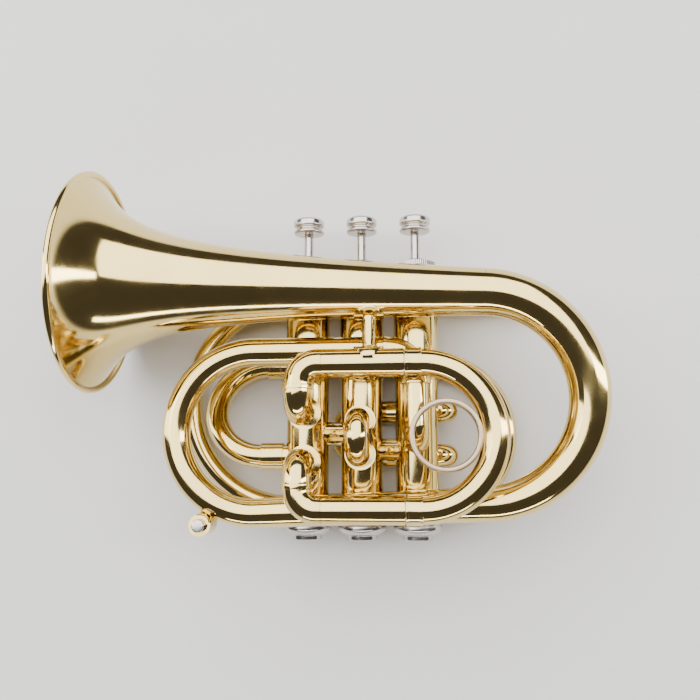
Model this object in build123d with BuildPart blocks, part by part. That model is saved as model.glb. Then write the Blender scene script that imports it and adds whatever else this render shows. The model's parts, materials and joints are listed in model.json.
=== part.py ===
from build123d import *
import os
from math import asin, cos, radians, sin

# Pocket trumpet lying on its side, ready to be picked up.
#   +X runs from the bell mouth towards the player, +Y from the bottom caps towards the finger
#   buttons, and +Z up from the table. The origin is the middle of the footprint, on the table.
# Valve 1 is nearest the player and valve 3 nearest the bell. All lengths are millimetres.

os.makedirs("parts", exist_ok=True)

# ---------------------------------------------------------------- valve section
piston_d = 16.8
piston_fit = 0.04  # radial running clearance of a piston in its casing
casing_wall = 0.85
baluster_wall = 1.35  # thicker upper part of each casing
baluster_from = 24.0  # height of the baluster's lower edge above the ports
casing_top = 69.0
casing_bottom = -40.5
piston_top = 30.0
piston_bottom = -23.0
barrel_d = 10.0  # narrow neck above the piston that stops against the rest felt
piston_wall = 1.2
piston_recess = 5.0
vent_d = 1.2  # air vents in the shoulder of each piston
valve_travel = 12.0
stop_gap = 0.8  # left between button and felt when a valve is fully down
stem_d = 4.0
stem_hole_fit = 0.15
neck_gap = 0.2  # between the piston's neck and the top of its casing
button_d = 13.8
button_h = 7.0
button_edge = 0.5
button_groove = 1.2
pearl_d = 11.2
pearl_h = 1.5
pearl_fit = 0.02
pearl_crown = 0.7
felt_t = 1.2
felt_width = 2.5
cap_skirt_wall = 1.31  # bottom cap's wall over the casing
cap_flange_step = 1.01  # top cap's flange beyond the baluster
cap_gap = 2.4  # between the flanges of neighbouring top caps
cap_edge = 0.25  # rounding of the bottom caps' skirt
top_cap_h = 10.2
top_cap_flange_h = 3.2
top_cap_neck_d = 16.8
top_cap_disc_d = 18.0  # wide disc round the top of each top cap
top_cap_disc_h = 2.6
bottom_cap_h = 6.3
bottom_cap_foot_d = 13.0
bottom_cap_foot_h = 2.0
thread_overlap = 3.0  # length of casing inside each cap
cap_floor = 1.4
spring_wire_d = 0.9
spring_gap = 1.0  # between the spring and the piston's lower recess
spring_turns = 7

# ---------------------------------------------------------------- tubes
main_d = 11.7  # main tubing and the outer slide tubes
tube_wall = 0.5
slide_fit = 0.05  # radial clearance of an inner slide leg in its outer tube
small_d = 10.5  # outer tubes of the first and second slides
small_bow_d = 9.9
elbow_d = 9.9  # first slide's elbows, wider than the ports that they close
branch_d = 12.0  # front tubing that leads to the bell
knuckle_d = 10.6
return_step = 0.65  # radial step from the main tubing down to the return tube
leadpipe_d = 9.0
ferrule_t = 0.75  # ferrule wall over the tube it joins
ferrule_l = 6.5
knuckle_band_l = 2.0
reducer_l = 3.0  # half length of the ferrules that join tubes of two sizes
slide_gap = 0.4  # gap between a closed slide's ferrule and its outer tube
air_gap = 0.6  # smallest gap between neighbouring tubes and casings

# ---------------------------------------------------------------- bell section
rim_d = 95.0
rim_bead_d = 2.8
bell_wall = 0.6
bell_length = 167.0
flare_s0 = 12.0  # the flare follows rim radius * (1 + s / flare_s0) ** -flare_power
flare_power = 0.58
bell_tilt = 2.3  # degrees that the bell mouth is raised towards the buttons
bow_r = 43.6  # centreline radius of the bell bow
bow_x = 50.8
bow_y = 14.3
bow_end_d = 14.3  # bell bow at its narrow end

# ---------------------------------------------------------------- tube runs, from valve 2's ports
branch_bow_r = 33.9  # left-hand bow between the branch tube and the first valve
branch_bow_x = -44.3
branch_bow_y = 0.7
knuckle_r = 12.0
exit_knuckle_r = 6.4  # turn of the branch into the first valve
third_leg_up = 27.8
third_leg_down = -30.7
third_bow_x = 26.3
third_knuckle_r = 8.2
third_seam_x = -13.9
third_bow_d = 11.2
second_bow_z = 22.0
first_port_z = -3.6  # the first slide leaves valve 1 towards the rear
first_bow_x = -1.2
first_seam_x = 27.0
tuning_leg_up = 31.8
tuning_leg_down = -32.2
tuning_bow_x = 31.0
leadpipe_y = 62.4
leadpipe_bow_x = -33.5
return_bow_x = -44.4
receiver_l = 34.0
receiver_end_x = 75.0
receiver_d = 11.6
receiver_lip_d = 13.0
receiver_lip_l = 3.0
receiver_edge = 0.6
socket_d = 9.8  # the mouthpiece shank's size where it enters
socket_depth = 22.0

# ---------------------------------------------------------------- port heights above valve 2's ports
entry_y = -9.6
link_32_y = 0.0
link_21_y = -7.4
exit_y = -3.2
third_ports = (8.9, -12.1)
second_ports = (5.5, -8.9)
first_ports = (10.1, -9.3)

# ---------------------------------------------------------------- slide legs, ring, key and braces
third_leg_l = 34.0
second_leg_l = 12.0
first_leg_l = 25.0
tuning_leg_l = 34.0
small_ferrule_l = 4.0
small_ferrule_t = 0.6
collar_t = 1.3
collar_l = 2.2
ring_d = 29.4
ring_wall = 2.2
ring_l = 5.2
ring_edge = 0.7
ring_seat = 0.6  # depth that the ring is let into the third bow
key_angle = 241.0  # place of the water key round the branch bow, degrees
key_barrel_d = 9.2
key_barrel_l = 11.0
key_plunger_d = 5.4
key_head = 3.4  # how far the plunger stands out of its barrel
key_saddle_d = 7.0
key_saddle_seat = 0.3
key_edge = 0.6
rear_brace_d = 3.6
brace_d = 4.6
brace_flange_d = 12.6
brace_flange_t = 0.9
brace_x = 5.0

# ---------------------------------------------------------------- derived sizes
casing_bore_r = piston_d / 2 + piston_fit
casing_r = casing_bore_r + casing_wall
baluster_r = casing_bore_r + baluster_wall
skirt_r = casing_r + cap_skirt_wall
flange_r = baluster_r + cap_flange_step
valve_pitch = 2 * max(skirt_r, flange_r) + cap_gap
spring_d = piston_d - 2 * piston_wall - 2 * spring_gap
return_d = main_d - 2 * return_step
leg_d = main_d - 2 * tube_wall - 2 * slide_fit  # inner legs of the third and tuning slides
small_leg_d = small_d - 2 * tube_wall - 2 * slide_fit
back_z = -(casing_r + air_gap + main_d / 2 + ferrule_t)  # tubes behind the valves
rest_r = max(main_d / 2 + ferrule_t, receiver_lip_d / 2)
valve_z = rest_r - back_z  # valve axes above the table
branch_mid_d = (branch_d + bow_end_d) / 2 + 1.0
branch_z = casing_r + air_gap + branch_mid_d / 2
third_z = branch_z + bow_end_d / 2 + main_d / 2 + ferrule_t + air_gap
first_z = -(casing_r + air_gap + small_d / 2)
rim_r = rim_d / 2


def flare_radius(distance):
    """Outer radius of the bell at a distance from its mouth."""
    return rim_r * (1 + distance / flare_s0) ** -flare_power


def flare_point(distance, depth):
    """Point of the bell's section at a depth below its outer skin, from the throat."""
    slope = flare_power * flare_radius(distance) / (flare_s0 + distance)
    length = (1 + slope**2) ** 0.5
    return (bell_length - distance + depth * slope / length, flare_radius(distance) - depth / length)


# The bell plane leans so that the rim and the rear tubes touch the table together.
tilt = radians(bell_tilt)
lean = asin((rim_r - valve_z - branch_z) / (bow_r * (1 + cos(tilt)) + bell_length * sin(tilt)))
bow_z = branch_z + bow_r * sin(lean)
third_bow_r = (third_leg_up - third_leg_down) / 2
third_bow_y = (third_leg_up + third_leg_down) / 2

# Valve 2's axis, in the frame of the whole instrument, puts the footprint's middle at the origin.
bell_mouth_x = bow_x + bow_r * sin(tilt) - bell_length * cos(tilt)
bell_mouth_y = bow_y + (bow_r * cos(tilt) + bell_length * sin(tilt)) * cos(lean)
throat_d = 2 * flare_radius(bell_length)
bow_turn = 180 - bell_tilt
bow_growth = (throat_d - bow_end_d) / bow_turn  # change of the bell bow's diameter for each degree
sheet_end = flare_s0 * ((1 - 0.8 * rim_bead_d / rim_r) ** (-1 / flare_power) - 1)
bead_x = flare_point(sheet_end, bell_wall / 2)[0]
bead_back = bell_length - bead_x
bead_rise = rim_r - rim_bead_d / 2
reach_left = bell_mouth_x + bead_back * cos(tilt) - bead_rise * sin(tilt) - rim_bead_d / 2
reach_right = bow_x + max(
    (bow_r + (bow_end_d + bow_growth * turn) / 2) * sin(radians(turn)) for turn in range(60, 121)
)
reach_up = bell_mouth_y + rim_r * cos(tilt)
reach_down = casing_bottom + thread_overlap - bottom_cap_h - cap_floor
mid_x = -(reach_left + reach_right) / 2
mid_y = -(reach_up + reach_down) / 2


def at(x, y, z=0.0):
    """Turn a place measured from valve 2's ports into the instrument's frame."""
    return Vector(mid_x + x, mid_y + y, valve_z + z)


def valve_x(number):
    """Place of a valve's axis along X, measured from valve 2."""
    return (2 - number) * valve_pitch


def ring_sketch(outer_d, inner_d):
    """Draw a round section on the current sketch plane, hollow unless inner_d is 0."""
    Circle(outer_d / 2)
    if inner_d > 0:
        Circle(inner_d / 2, mode=Mode.SUBTRACT)


def straight(start, end, outer_d, inner_d):
    """Add a straight tube from start to end to the current part."""
    run = end - start
    with BuildSketch(Plane(origin=start, z_dir=run)) as section:
        ring_sketch(outer_d, inner_d)
    extrude(section.sketch, amount=run.length)


def bent_tube(points, radius, outer_d, inner_d):
    """Add a bent tube along points, with one radius at each corner."""
    with BuildLine() as route:
        FilletPolyline(*points, radius=radius)
    with BuildSketch(Plane(origin=route.line @ 0, z_dir=route.line % 0)) as section:
        ring_sketch(outer_d, inner_d)
    sweep(section.sketch, path=route.line)


def bow(start, end, heading, outer_d, inner_d, mode=Mode.ADD):
    """Add or cut a half-turn bend that leaves start along heading and comes back at end."""
    centre = (start + end) / 2
    arm = start - centre
    with BuildSketch(Plane(origin=start, x_dir=arm, z_dir=heading)) as section:
        ring_sketch(outer_d, inner_d)
    turn_axis = Axis(centre, arm.cross(Vector(*heading)))
    revolve(section.sketch, axis=turn_axis, revolution_arc=180, mode=mode)


def rod(start, end, diameter, mode=Mode.ADD):
    """Add or cut a solid rod from start to end."""
    run = end - start
    with BuildSketch(Plane(origin=start, z_dir=run)) as section:
        Circle(diameter / 2)
    extrude(section.sketch, amount=run.length, mode=mode)


def along_valve(number, low, high, diameter, mode=Mode.ADD):
    """Add or cut a rod on a valve's axis between two heights."""
    rod(at(valve_x(number), low), at(valve_x(number), high), diameter, mode)


def valve_plane(number, height):
    """Plane across a valve's axis at a height, facing the buttons."""
    return Plane(origin=at(valve_x(number), height), x_dir=(1, 0, 0), z_dir=(0, 1, 0))


def cut_casings(*numbers):
    """Shape the current part's ends to the casings that they meet."""
    for number in numbers:
        along_valve(number, casing_bottom, baluster_from, 2 * casing_r, Mode.SUBTRACT)


# ================================================================ valves
piston_r = piston_d / 2
port_d = knuckle_d - 2 * tube_wall

# Each port is its height, its outward direction and its place along Z on its casing.
left, right, front = (-1, 0, 0), (1, 0, 0), (0, 0, 1)
ports = {
    3: [(entry_y, left, 0), (link_32_y, right, 0), (third_ports[0], front, 0), (third_ports[1], front, 0)],
    2: [(link_32_y, left, 0), (link_21_y, right, 0), (second_ports[0], front, 0),
        (second_ports[1], front, 0)],
    1: [(link_21_y, left, 0), (exit_y, front, 0), (first_ports[0], right, first_port_z),
        (first_ports[1], right, first_port_z)],
}
open_ports = {3: ports[3][:2], 2: ports[2][:2], 1: ports[1][:2]}
cap_bottom = casing_bottom + thread_overlap - bottom_cap_h - cap_floor
spring_seat = cap_bottom + bottom_cap_foot_h + cap_floor
top_cap_base = casing_top - thread_overlap
top_cap_top = top_cap_base + top_cap_h
button_base = top_cap_top + felt_t + valve_travel + stop_gap

for number in (1, 2, 3):
    with BuildPart() as casing:
        with BuildSketch(valve_plane(number, casing_bottom)):
            ring_sketch(2 * casing_r, 2 * casing_bore_r)
        extrude(amount=casing_top - casing_bottom)
        with BuildSketch(valve_plane(number, baluster_from)):
            ring_sketch(2 * baluster_r, 2 * casing_r)
        extrude(amount=top_cap_base - baluster_from)
        shoulder = casing.edges().filter_by(GeomType.CIRCLE).group_by(Axis.Y)[2].sort_by(SortBy.RADIUS)[-1]
        chamfer(shoulder, (baluster_wall - casing_wall) * 0.9)
        for height, direction, shift in ports[number]:
            axle = at(valve_x(number), height, shift)
            rod(axle, axle + Vector(*direction) * 2 * casing_r, port_d, Mode.SUBTRACT)
    casing.part.label = f"valve_casing_{number}"
    export_step(casing.part, f"parts/valve_casing_{number}.step")

    with BuildPart() as bottom_cap:
        with BuildSketch(Plane(origin=at(valve_x(number), 0), x_dir=(1, 0, 0), z_dir=(0, 0, 1))):
            with BuildLine():
                Polyline(
                    (0, cap_bottom),
                    (bottom_cap_foot_d / 2, cap_bottom),
                    (bottom_cap_foot_d / 2, cap_bottom + bottom_cap_foot_h),
                    (skirt_r - 0.6, casing_bottom - 0.4),
                    (skirt_r, casing_bottom + 0.2),
                    (skirt_r, casing_bottom + thread_overlap),
                    (casing_r, casing_bottom + thread_overlap),
                    (casing_r, casing_bottom),
                    (casing_bore_r - 0.6, casing_bottom),
                    (spring_d / 2 + 0.3, spring_seat),
                    (0, spring_seat),
                    close=True,
                )
            make_face()
        revolve(axis=Axis(at(valve_x(number), 0), (0, 1, 0)))
        skirt_edges = bottom_cap.edges().filter_by(GeomType.CIRCLE).sort_by(SortBy.RADIUS)[-2:]
        fillet(skirt_edges, cap_edge)
    bottom_cap.part.label = f"bottom_cap_{number}"
    export_step(bottom_cap.part, f"parts/bottom_cap_{number}.step")

    with BuildPart() as top_cap:
        with BuildSketch(Plane(origin=at(valve_x(number), 0), x_dir=(1, 0, 0), z_dir=(0, 0, 1))):
            with BuildLine():
                Polyline(
                    (baluster_r, top_cap_base),
                    (flange_r, top_cap_base),
                    (flange_r, top_cap_base + top_cap_flange_h),
                    (top_cap_neck_d / 2, top_cap_base + top_cap_flange_h * 1.75),
                    (top_cap_neck_d / 2, top_cap_top - top_cap_disc_h * 1.2),
                    (top_cap_disc_d / 2, top_cap_top - top_cap_disc_h),
                    (top_cap_disc_d / 2, top_cap_top),
                    (stem_d / 2 + stem_hole_fit, top_cap_top),
                    (stem_d / 2 + stem_hole_fit, casing_top + felt_t),
                    (casing_bore_r - 0.5, casing_top + felt_t),
                    (casing_bore_r - 0.5, casing_top),
                    (casing_r, casing_top),
                    (casing_r, top_cap_base),
                    close=True,
                )
            make_face()
        revolve(axis=Axis(at(valve_x(number), 0), (0, 1, 0)))
    top_cap.part.label = f"top_cap_{number}"
    export_step(top_cap.part, f"parts/top_cap_{number}.step")

    with BuildPart() as piston:
        along_valve(number, piston_bottom, piston_top, piston_d)
        along_valve(number, piston_top, casing_top - neck_gap, barrel_d)
        hollow_d = piston_d - 2 * piston_wall
        along_valve(number, piston_bottom, piston_bottom + piston_recess, hollow_d, Mode.SUBTRACT)
        along_valve(number, link_32_y + knuckle_d / 2 + piston_wall, piston_top - 2, hollow_d, Mode.SUBTRACT)
        along_valve(number, piston_top, casing_top - neck_gap, stem_d, Mode.SUBTRACT)
        with Locations(valve_plane(number, piston_top)):
            with PolarLocations((hollow_d + barrel_d) / 4, 2, 90):
                Cylinder(vent_d / 2, 3 * piston_wall, mode=Mode.SUBTRACT)
        middle = sum(port[0] for port in open_ports[number]) / 2
        centre = at(valve_x(number), middle)
        for height, direction, _ in open_ports[number]:
            wall = at(valve_x(number), height) + Vector(*direction) * (piston_r + 1)
            rod(centre, wall, port_d, Mode.SUBTRACT)
    piston.part.label = f"piston_{number}"
    export_step(piston.part, f"parts/piston_{number}.step")

    with BuildPart() as stem:
        along_valve(number, piston_top, button_base, stem_d)
    stem.part.label = f"valve_stem_{number}"
    export_step(stem.part, f"parts/valve_stem_{number}.step")

    with BuildPart() as button:
        with BuildSketch(Plane(origin=at(valve_x(number), 0), x_dir=(1, 0, 0), z_dir=(0, 0, 1))):
            with BuildLine():
                Polyline(
                    (0, button_base),
                    (button_d / 2 - button_edge, button_base),
                    (button_d / 2, button_base + button_edge),
                    (button_d / 2, button_base + 1.5),
                    (button_d / 2 - button_groove, button_base + 2.1),
                    (button_d / 2 - button_groove, button_base + 2.9),
                    (button_d / 2, button_base + 3.8),
                    (button_d / 2, button_base + button_h - 0.9),
                    (pearl_d / 2, button_base + button_h),
                    (pearl_d / 2, button_base + button_h - pearl_h),
                    (0, button_base + button_h - pearl_h),
                    close=True,
                )
            make_face()
        revolve(axis=Axis(at(valve_x(number), 0), (0, 1, 0)))
    button.part.label = f"finger_button_{number}"
    export_step(button.part, f"parts/finger_button_{number}.step")

    with BuildPart() as pearl:
        along_valve(number, button_base + button_h - pearl_h, button_base + button_h, pearl_d - 2 * pearl_fit)
        fillet(pearl.edges().filter_by(GeomType.CIRCLE).sort_by(Axis.Y)[-1], pearl_crown)
    pearl.part.label = f"button_pearl_{number}"
    export_step(pearl.part, f"parts/button_pearl_{number}.step")

    with BuildPart() as spring:
        coil_low = spring_seat + spring_wire_d / 2
        coil_high = piston_bottom + piston_recess - spring_wire_d / 2
        coil_pitch = (coil_high - coil_low) / spring_turns
        with BuildLine() as coil:
            Helix(
                coil_pitch,
                coil_high - coil_low,
                (spring_d - spring_wire_d) / 2,
                center=at(valve_x(number), coil_low),
                direction=(0, 1, 0),
            )
        with BuildSketch(Plane(origin=coil.line @ 0, z_dir=coil.line % 0)):
            Circle(spring_wire_d / 2)
        sweep(is_frenet=True)
    spring.part.label = f"valve_spring_{number}"
    export_step(spring.part, f"parts/valve_spring_{number}.step")

with BuildPart() as cap_felts:
    for number in (1, 2, 3):
        for low in (top_cap_top, casing_top):
            with BuildSketch(valve_plane(number, low)):
                ring_sketch(stem_d + 2 * felt_width, stem_d + 2 * stem_hole_fit)
            extrude(amount=felt_t)
cap_felts.part.label = "cap_felts"
export_step(cap_felts.part, "parts/cap_felts.step")

with BuildPart() as valve_links:
    for left_valve, height in ((3, link_32_y), (2, link_21_y)):
        start = at(valve_x(left_valve) + casing_r - 2, height)
        end = at(valve_x(left_valve - 1) - casing_r + 2, height)
        straight(start, end, knuckle_d, port_d)
    cut_casings(1, 2, 3)
valve_links.part.label = "valve_links"
export_step(valve_links.part, "parts/valve_links.step")

# ================================================================ bell section
bell_plane = Plane(
    origin=at(bow_x, bow_y, bow_z),
    x_dir=(1, 0, 0),
    z_dir=(0, -sin(lean), cos(lean)),
)
bell_axis = bell_plane.x_dir * -cos(tilt) + bell_plane.y_dir * sin(tilt)
bow_top = bell_plane.origin + (bell_plane.x_dir * sin(tilt) + bell_plane.y_dir * cos(tilt)) * bow_r
bow_foot = bell_plane.origin - bell_plane.y_dir * bow_r
branch_up = branch_bow_y + branch_bow_r
branch_down = branch_bow_y - branch_bow_r


def bell_shell(outer, inner, start, end, mode=Mode.ADD):
    """Add or cut the bell's shell between two distances from its mouth and two depths."""
    steps = [end + (start - end) * (k / 9) ** 2 for k in range(10)]
    with BuildSketch(Plane(origin=bow_top, x_dir=bell_axis, z_dir=bell_plane.z_dir)) as section:
        with BuildLine():
            skin = Spline(*[flare_point(step, outer) for step in steps])
            lining = Spline(*[flare_point(step, inner) for step in steps])
            Line(skin @ 0, lining @ 0)
            Line(skin @ 1, lining @ 1)
        make_face()
    revolve(section.sketch, axis=Axis(bow_top, bell_axis), mode=mode)


def bow_station(turn):
    """Plane across the bell bow, at an angle from its foot."""
    arm = bell_plane.x_dir * sin(radians(turn)) - bell_plane.y_dir * cos(radians(turn))
    return Plane(origin=bell_plane.origin + arm * bow_r, x_dir=arm, z_dir=bell_plane.z_dir.cross(arm))


with BuildPart() as bell:
    bell_shell(0, bell_wall, bell_length, sheet_end)
bell.part.label = "bell"
export_step(bell.part, "parts/bell.step")

with BuildPart() as bell_rim:
    with BuildSketch(Plane(origin=bow_top, x_dir=bell_axis, z_dir=bell_plane.z_dir)):
        with Locations((bead_x, rim_r - rim_bead_d / 2)):
            Circle(rim_bead_d / 2)
    revolve(axis=Axis(bow_top, bell_axis))
    add(bell.part, mode=Mode.SUBTRACT)
bell_rim.part.label = "bell_rim"
export_step(bell_rim.part, "parts/bell_rim.step")

with BuildPart() as bell_bow:
    for depth, mode in ((0, Mode.ADD), (bell_wall, Mode.SUBTRACT)):
        with BuildLine() as bow_path:
            RadiusArc(bow_foot, bow_top, -bow_r)
        for share in (0, 0.5, 1):
            with BuildSketch(bow_station(bow_turn * share)):
                Circle((bow_end_d + (throat_d - bow_end_d) * share) / 2 - depth)
        sweep(multisection=True, mode=mode)
bell_bow.part.label = "bell_bow"
export_step(bell_bow.part, "parts/bell_bow.step")

with BuildPart() as bell_branch:
    for depth, mode in ((0, Mode.ADD), (bell_wall, Mode.SUBTRACT)):
        with BuildSketch(Plane(origin=bow_foot, z_dir=(-1, 0, 0))):
            Circle(bow_end_d / 2 - depth)
        with BuildSketch(Plane(origin=at(branch_bow_x, branch_down, branch_z), z_dir=(-1, 0, 0))):
            Circle(branch_d / 2 - depth)
        loft(mode=mode)
bell_branch.part.label = "bell_branch"
export_step(bell_branch.part, "parts/bell_branch.step")

with BuildPart() as branch_bow:
    bow(
        at(branch_bow_x, branch_down, branch_z),
        at(branch_bow_x, branch_up, branch_z),
        (-1, 0, 0),
        branch_d,
        branch_d - 2 * bell_wall,
    )
branch_bow.part.label = "branch_bow"
export_step(branch_bow.part, "parts/branch_bow.step")

elbow_x = valve_x(1) - knuckle_r
with BuildPart() as branch_top:
    straight(
        at(branch_bow_x, branch_up, branch_z),
        at(elbow_x, branch_up, branch_z),
        branch_d,
        branch_d - 2 * bell_wall,
    )
branch_top.part.label = "branch_top"
export_step(branch_top.part, "parts/branch_top.step")

with BuildPart() as branch_elbow:
    corner = at(elbow_x, branch_up - knuckle_r, branch_z)
    with BuildSketch(Plane(origin=at(elbow_x, branch_up, branch_z), z_dir=(1, 0, 0))):
        ring_sketch(branch_d, branch_d - 2 * bell_wall)
    revolve(axis=Axis(corner, (0, 0, -1)), revolution_arc=90)
branch_elbow.part.label = "branch_elbow"
export_step(branch_elbow.part, "parts/branch_elbow.step")

with BuildPart() as bell_knuckle:
    bent_tube(
        [
            at(valve_x(1), branch_up - knuckle_r, branch_z),
            at(valve_x(1), exit_y, branch_z),
            at(valve_x(1), exit_y, casing_r - 2),
        ],
        exit_knuckle_r,
        knuckle_d,
        port_d,
    )
    cut_casings(1)
bell_knuckle.part.label = "bell_knuckle"
export_step(bell_knuckle.part, "parts/bell_knuckle.step")

# ================================================================ third slide
outer_bore = main_d - 2 * tube_wall
third_outer_end = third_bow_x - ferrule_l - slide_gap
third_runs = ((third_leg_up, third_ports[0]), (third_leg_down, third_ports[1]))
with BuildPart() as third_knuckles:
    for leg, port in third_runs:
        bent_tube(
            [
                at(valve_x(3), port, casing_r - 2),
                at(valve_x(3), port, third_z),
                at(valve_x(3), leg, third_z),
                at(third_seam_x, leg, third_z),
            ],
            third_knuckle_r,
            main_d,
            port_d,
        )
    cut_casings(3)
third_knuckles.part.label = "third_knuckles"
export_step(third_knuckles.part, "parts/third_knuckles.step")

with BuildPart() as third_outer_tubes:
    for leg, _ in third_runs:
        straight(at(third_seam_x, leg, third_z), at(third_outer_end, leg, third_z), main_d, outer_bore)
third_outer_tubes.part.label = "third_outer_tubes"
export_step(third_outer_tubes.part, "parts/third_outer_tubes.step")

with BuildPart() as third_inner_legs:
    for leg, _ in third_runs:
        start = at(third_bow_x - third_leg_l, leg, third_z)
        straight(start, at(third_bow_x, leg, third_z), leg_d, leg_d - 2 * tube_wall)
third_inner_legs.part.label = "third_inner_legs"
export_step(third_inner_legs.part, "parts/third_inner_legs.step")

with BuildPart() as third_bow:
    bow(
        at(third_bow_x, third_leg_down, third_z),
        at(third_bow_x, third_leg_up, third_z),
        (1, 0, 0),
        third_bow_d,
        leg_d - 2 * tube_wall,
    )
    for leg, _ in third_runs:
        start = at(third_bow_x - ferrule_l, leg, third_z)
        straight(start, at(third_bow_x, leg, third_z), main_d + ferrule_t, leg_d)
third_bow.part.label = "third_bow"
export_step(third_bow.part, "parts/third_bow.step")

ring_x = third_bow_x + third_bow_r - third_bow_d / 2 - ring_d / 2 + ring_seat
with BuildPart() as finger_ring:
    with BuildSketch(Plane(origin=at(ring_x, third_bow_y, third_z - ring_l / 2))):
        ring_sketch(ring_d, ring_d - 2 * ring_wall)
    extrude(amount=ring_l)
    fillet(finger_ring.edges().filter_by(GeomType.CIRCLE), ring_edge)
    add(third_bow.part, mode=Mode.SUBTRACT)
finger_ring.part.label = "finger_ring"
export_step(finger_ring.part, "parts/finger_ring.step")

# ================================================================ second slide
small_bore = small_d - 2 * tube_wall
second_outer_end = second_bow_z - small_ferrule_l - slide_gap
with BuildPart() as second_outer_tubes:
    for port in second_ports:
        straight(at(0, port, casing_r - 3), at(0, port, second_outer_end), small_d, small_bore)
    cut_casings(2)
second_outer_tubes.part.label = "second_outer_tubes"
export_step(second_outer_tubes.part, "parts/second_outer_tubes.step")

with BuildPart() as second_inner_legs:
    for port in second_ports:
        start = at(0, port, second_bow_z - second_leg_l)
        straight(start, at(0, port, second_bow_z), small_leg_d, small_leg_d - 2 * tube_wall)
second_inner_legs.part.label = "second_inner_legs"
export_step(second_inner_legs.part, "parts/second_inner_legs.step")

with BuildPart() as second_bow:
    bow(
        at(0, second_ports[1], second_bow_z),
        at(0, second_ports[0], second_bow_z),
        (0, 0, 1),
        small_bow_d,
        small_leg_d - 2 * tube_wall,
    )
    for port in second_ports:
        start = at(0, port, second_bow_z - small_ferrule_l)
        straight(start, at(0, port, second_bow_z), small_leg_d + 2 * small_ferrule_t, small_leg_d)
second_bow.part.label = "second_bow"
export_step(second_bow.part, "parts/second_bow.step")

# ================================================================ first slide
first_elbow_x = valve_x(1) + (casing_r**2 - first_port_z**2) ** 0.5 - 1
with BuildPart() as first_elbows:
    for port in first_ports:
        stub = at(valve_x(1) + 3, port, first_port_z)
        straight(stub, at(first_elbow_x, port, first_port_z), elbow_d, elbow_d - 2 * tube_wall)
        bow(
            at(first_elbow_x, port, first_port_z),
            at(first_elbow_x, port, first_z),
            (1, 0, 0),
            elbow_d,
            elbow_d - 2 * tube_wall,
        )
        straight(
            at(first_elbow_x, port, first_z),
            at(first_seam_x, port, first_z),
            elbow_d,
            elbow_d - 2 * tube_wall,
        )
    cut_casings(1)
first_elbows.part.label = "first_elbows"
export_step(first_elbows.part, "parts/first_elbows.step")

first_outer_end = first_bow_x + small_ferrule_l + slide_gap
with BuildPart() as first_outer_tubes:
    for port in first_ports:
        straight(at(first_seam_x, port, first_z), at(first_outer_end, port, first_z), small_d, small_bore)
first_outer_tubes.part.label = "first_outer_tubes"
export_step(first_outer_tubes.part, "parts/first_outer_tubes.step")

with BuildPart() as first_inner_legs:
    for port in first_ports:
        start = at(first_bow_x, port, first_z)
        end = at(first_bow_x + first_leg_l, port, first_z)
        straight(start, end, small_leg_d, small_leg_d - 2 * tube_wall)
first_inner_legs.part.label = "first_inner_legs"
export_step(first_inner_legs.part, "parts/first_inner_legs.step")

with BuildPart() as first_bow:
    bow(
        at(first_bow_x, first_ports[0], first_z),
        at(first_bow_x, first_ports[1], first_z),
        (-1, 0, 0),
        small_bow_d,
        small_leg_d - 2 * tube_wall,
    )
    for port in first_ports:
        start = at(first_bow_x, port, first_z)
        end = at(first_bow_x + small_ferrule_l, port, first_z)
        straight(start, end, small_leg_d + 2 * small_ferrule_t, small_leg_d)
first_bow.part.label = "first_bow"
export_step(first_bow.part, "parts/first_bow.step")

# ================================================================ leadpipe and tuning slide
receiver_start = receiver_end_x - receiver_l
with BuildPart() as mouthpiece_receiver:
    with BuildSketch(Plane(origin=at(receiver_start, leadpipe_y, back_z))):
        with BuildLine():
            Polyline(
                (0, leadpipe_d / 2),
                (0, receiver_d / 2 - 1),
                (1, receiver_d / 2),
                (receiver_l - receiver_lip_l, receiver_d / 2),
                (receiver_l - receiver_lip_l, receiver_lip_d / 2),
                (receiver_l, receiver_lip_d / 2),
                (receiver_l, socket_d / 2),
                (receiver_l - socket_depth, socket_d / 2),
                (receiver_l - socket_depth, leadpipe_d / 2),
                close=True,
            )
        make_face()
    revolve(axis=Axis(at(0, leadpipe_y, back_z), (1, 0, 0)))
    lip = mouthpiece_receiver.edges().filter_by(GeomType.CIRCLE).sort_by(SortBy.RADIUS)[-2:]
    fillet(lip, receiver_edge)
mouthpiece_receiver.part.label = "mouthpiece_receiver"
export_step(mouthpiece_receiver.part, "parts/mouthpiece_receiver.step")

with BuildPart() as leadpipe:
    straight(
        at(leadpipe_bow_x, leadpipe_y, back_z),
        at(receiver_end_x - socket_depth, leadpipe_y, back_z),
        leadpipe_d,
        leadpipe_d - 2 * tube_wall,
    )
leadpipe.part.label = "leadpipe"
export_step(leadpipe.part, "parts/leadpipe.step")

reducer_run = Vector(reducer_l, 0, 0)
with BuildPart() as leadpipe_bow:
    bow(
        at(leadpipe_bow_x, leadpipe_y, back_z),
        at(leadpipe_bow_x, tuning_leg_down, back_z),
        (-1, 0, 0),
        leadpipe_d,
        leadpipe_d - 2 * tube_wall,
    )
    start = at(leadpipe_bow_x, tuning_leg_down, back_z)
    straight(start, start + reducer_run, leadpipe_d, leadpipe_d - 2 * tube_wall)
leadpipe_bow.part.label = "leadpipe_bow"
export_step(leadpipe_bow.part, "parts/leadpipe_bow.step")

tuning_outer_end = tuning_bow_x - ferrule_l - slide_gap
tuning_runs = (
    (at(return_bow_x, tuning_leg_up, back_z), tuning_leg_up, return_d),
    (at(leadpipe_bow_x, tuning_leg_down, back_z), tuning_leg_down, leadpipe_d),
)
with BuildPart() as tuning_outer_tubes:
    for joint, leg, _ in tuning_runs:
        straight(joint + reducer_run, at(tuning_outer_end, leg, back_z), main_d, outer_bore)
tuning_outer_tubes.part.label = "tuning_outer_tubes"
export_step(tuning_outer_tubes.part, "parts/tuning_outer_tubes.step")

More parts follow.
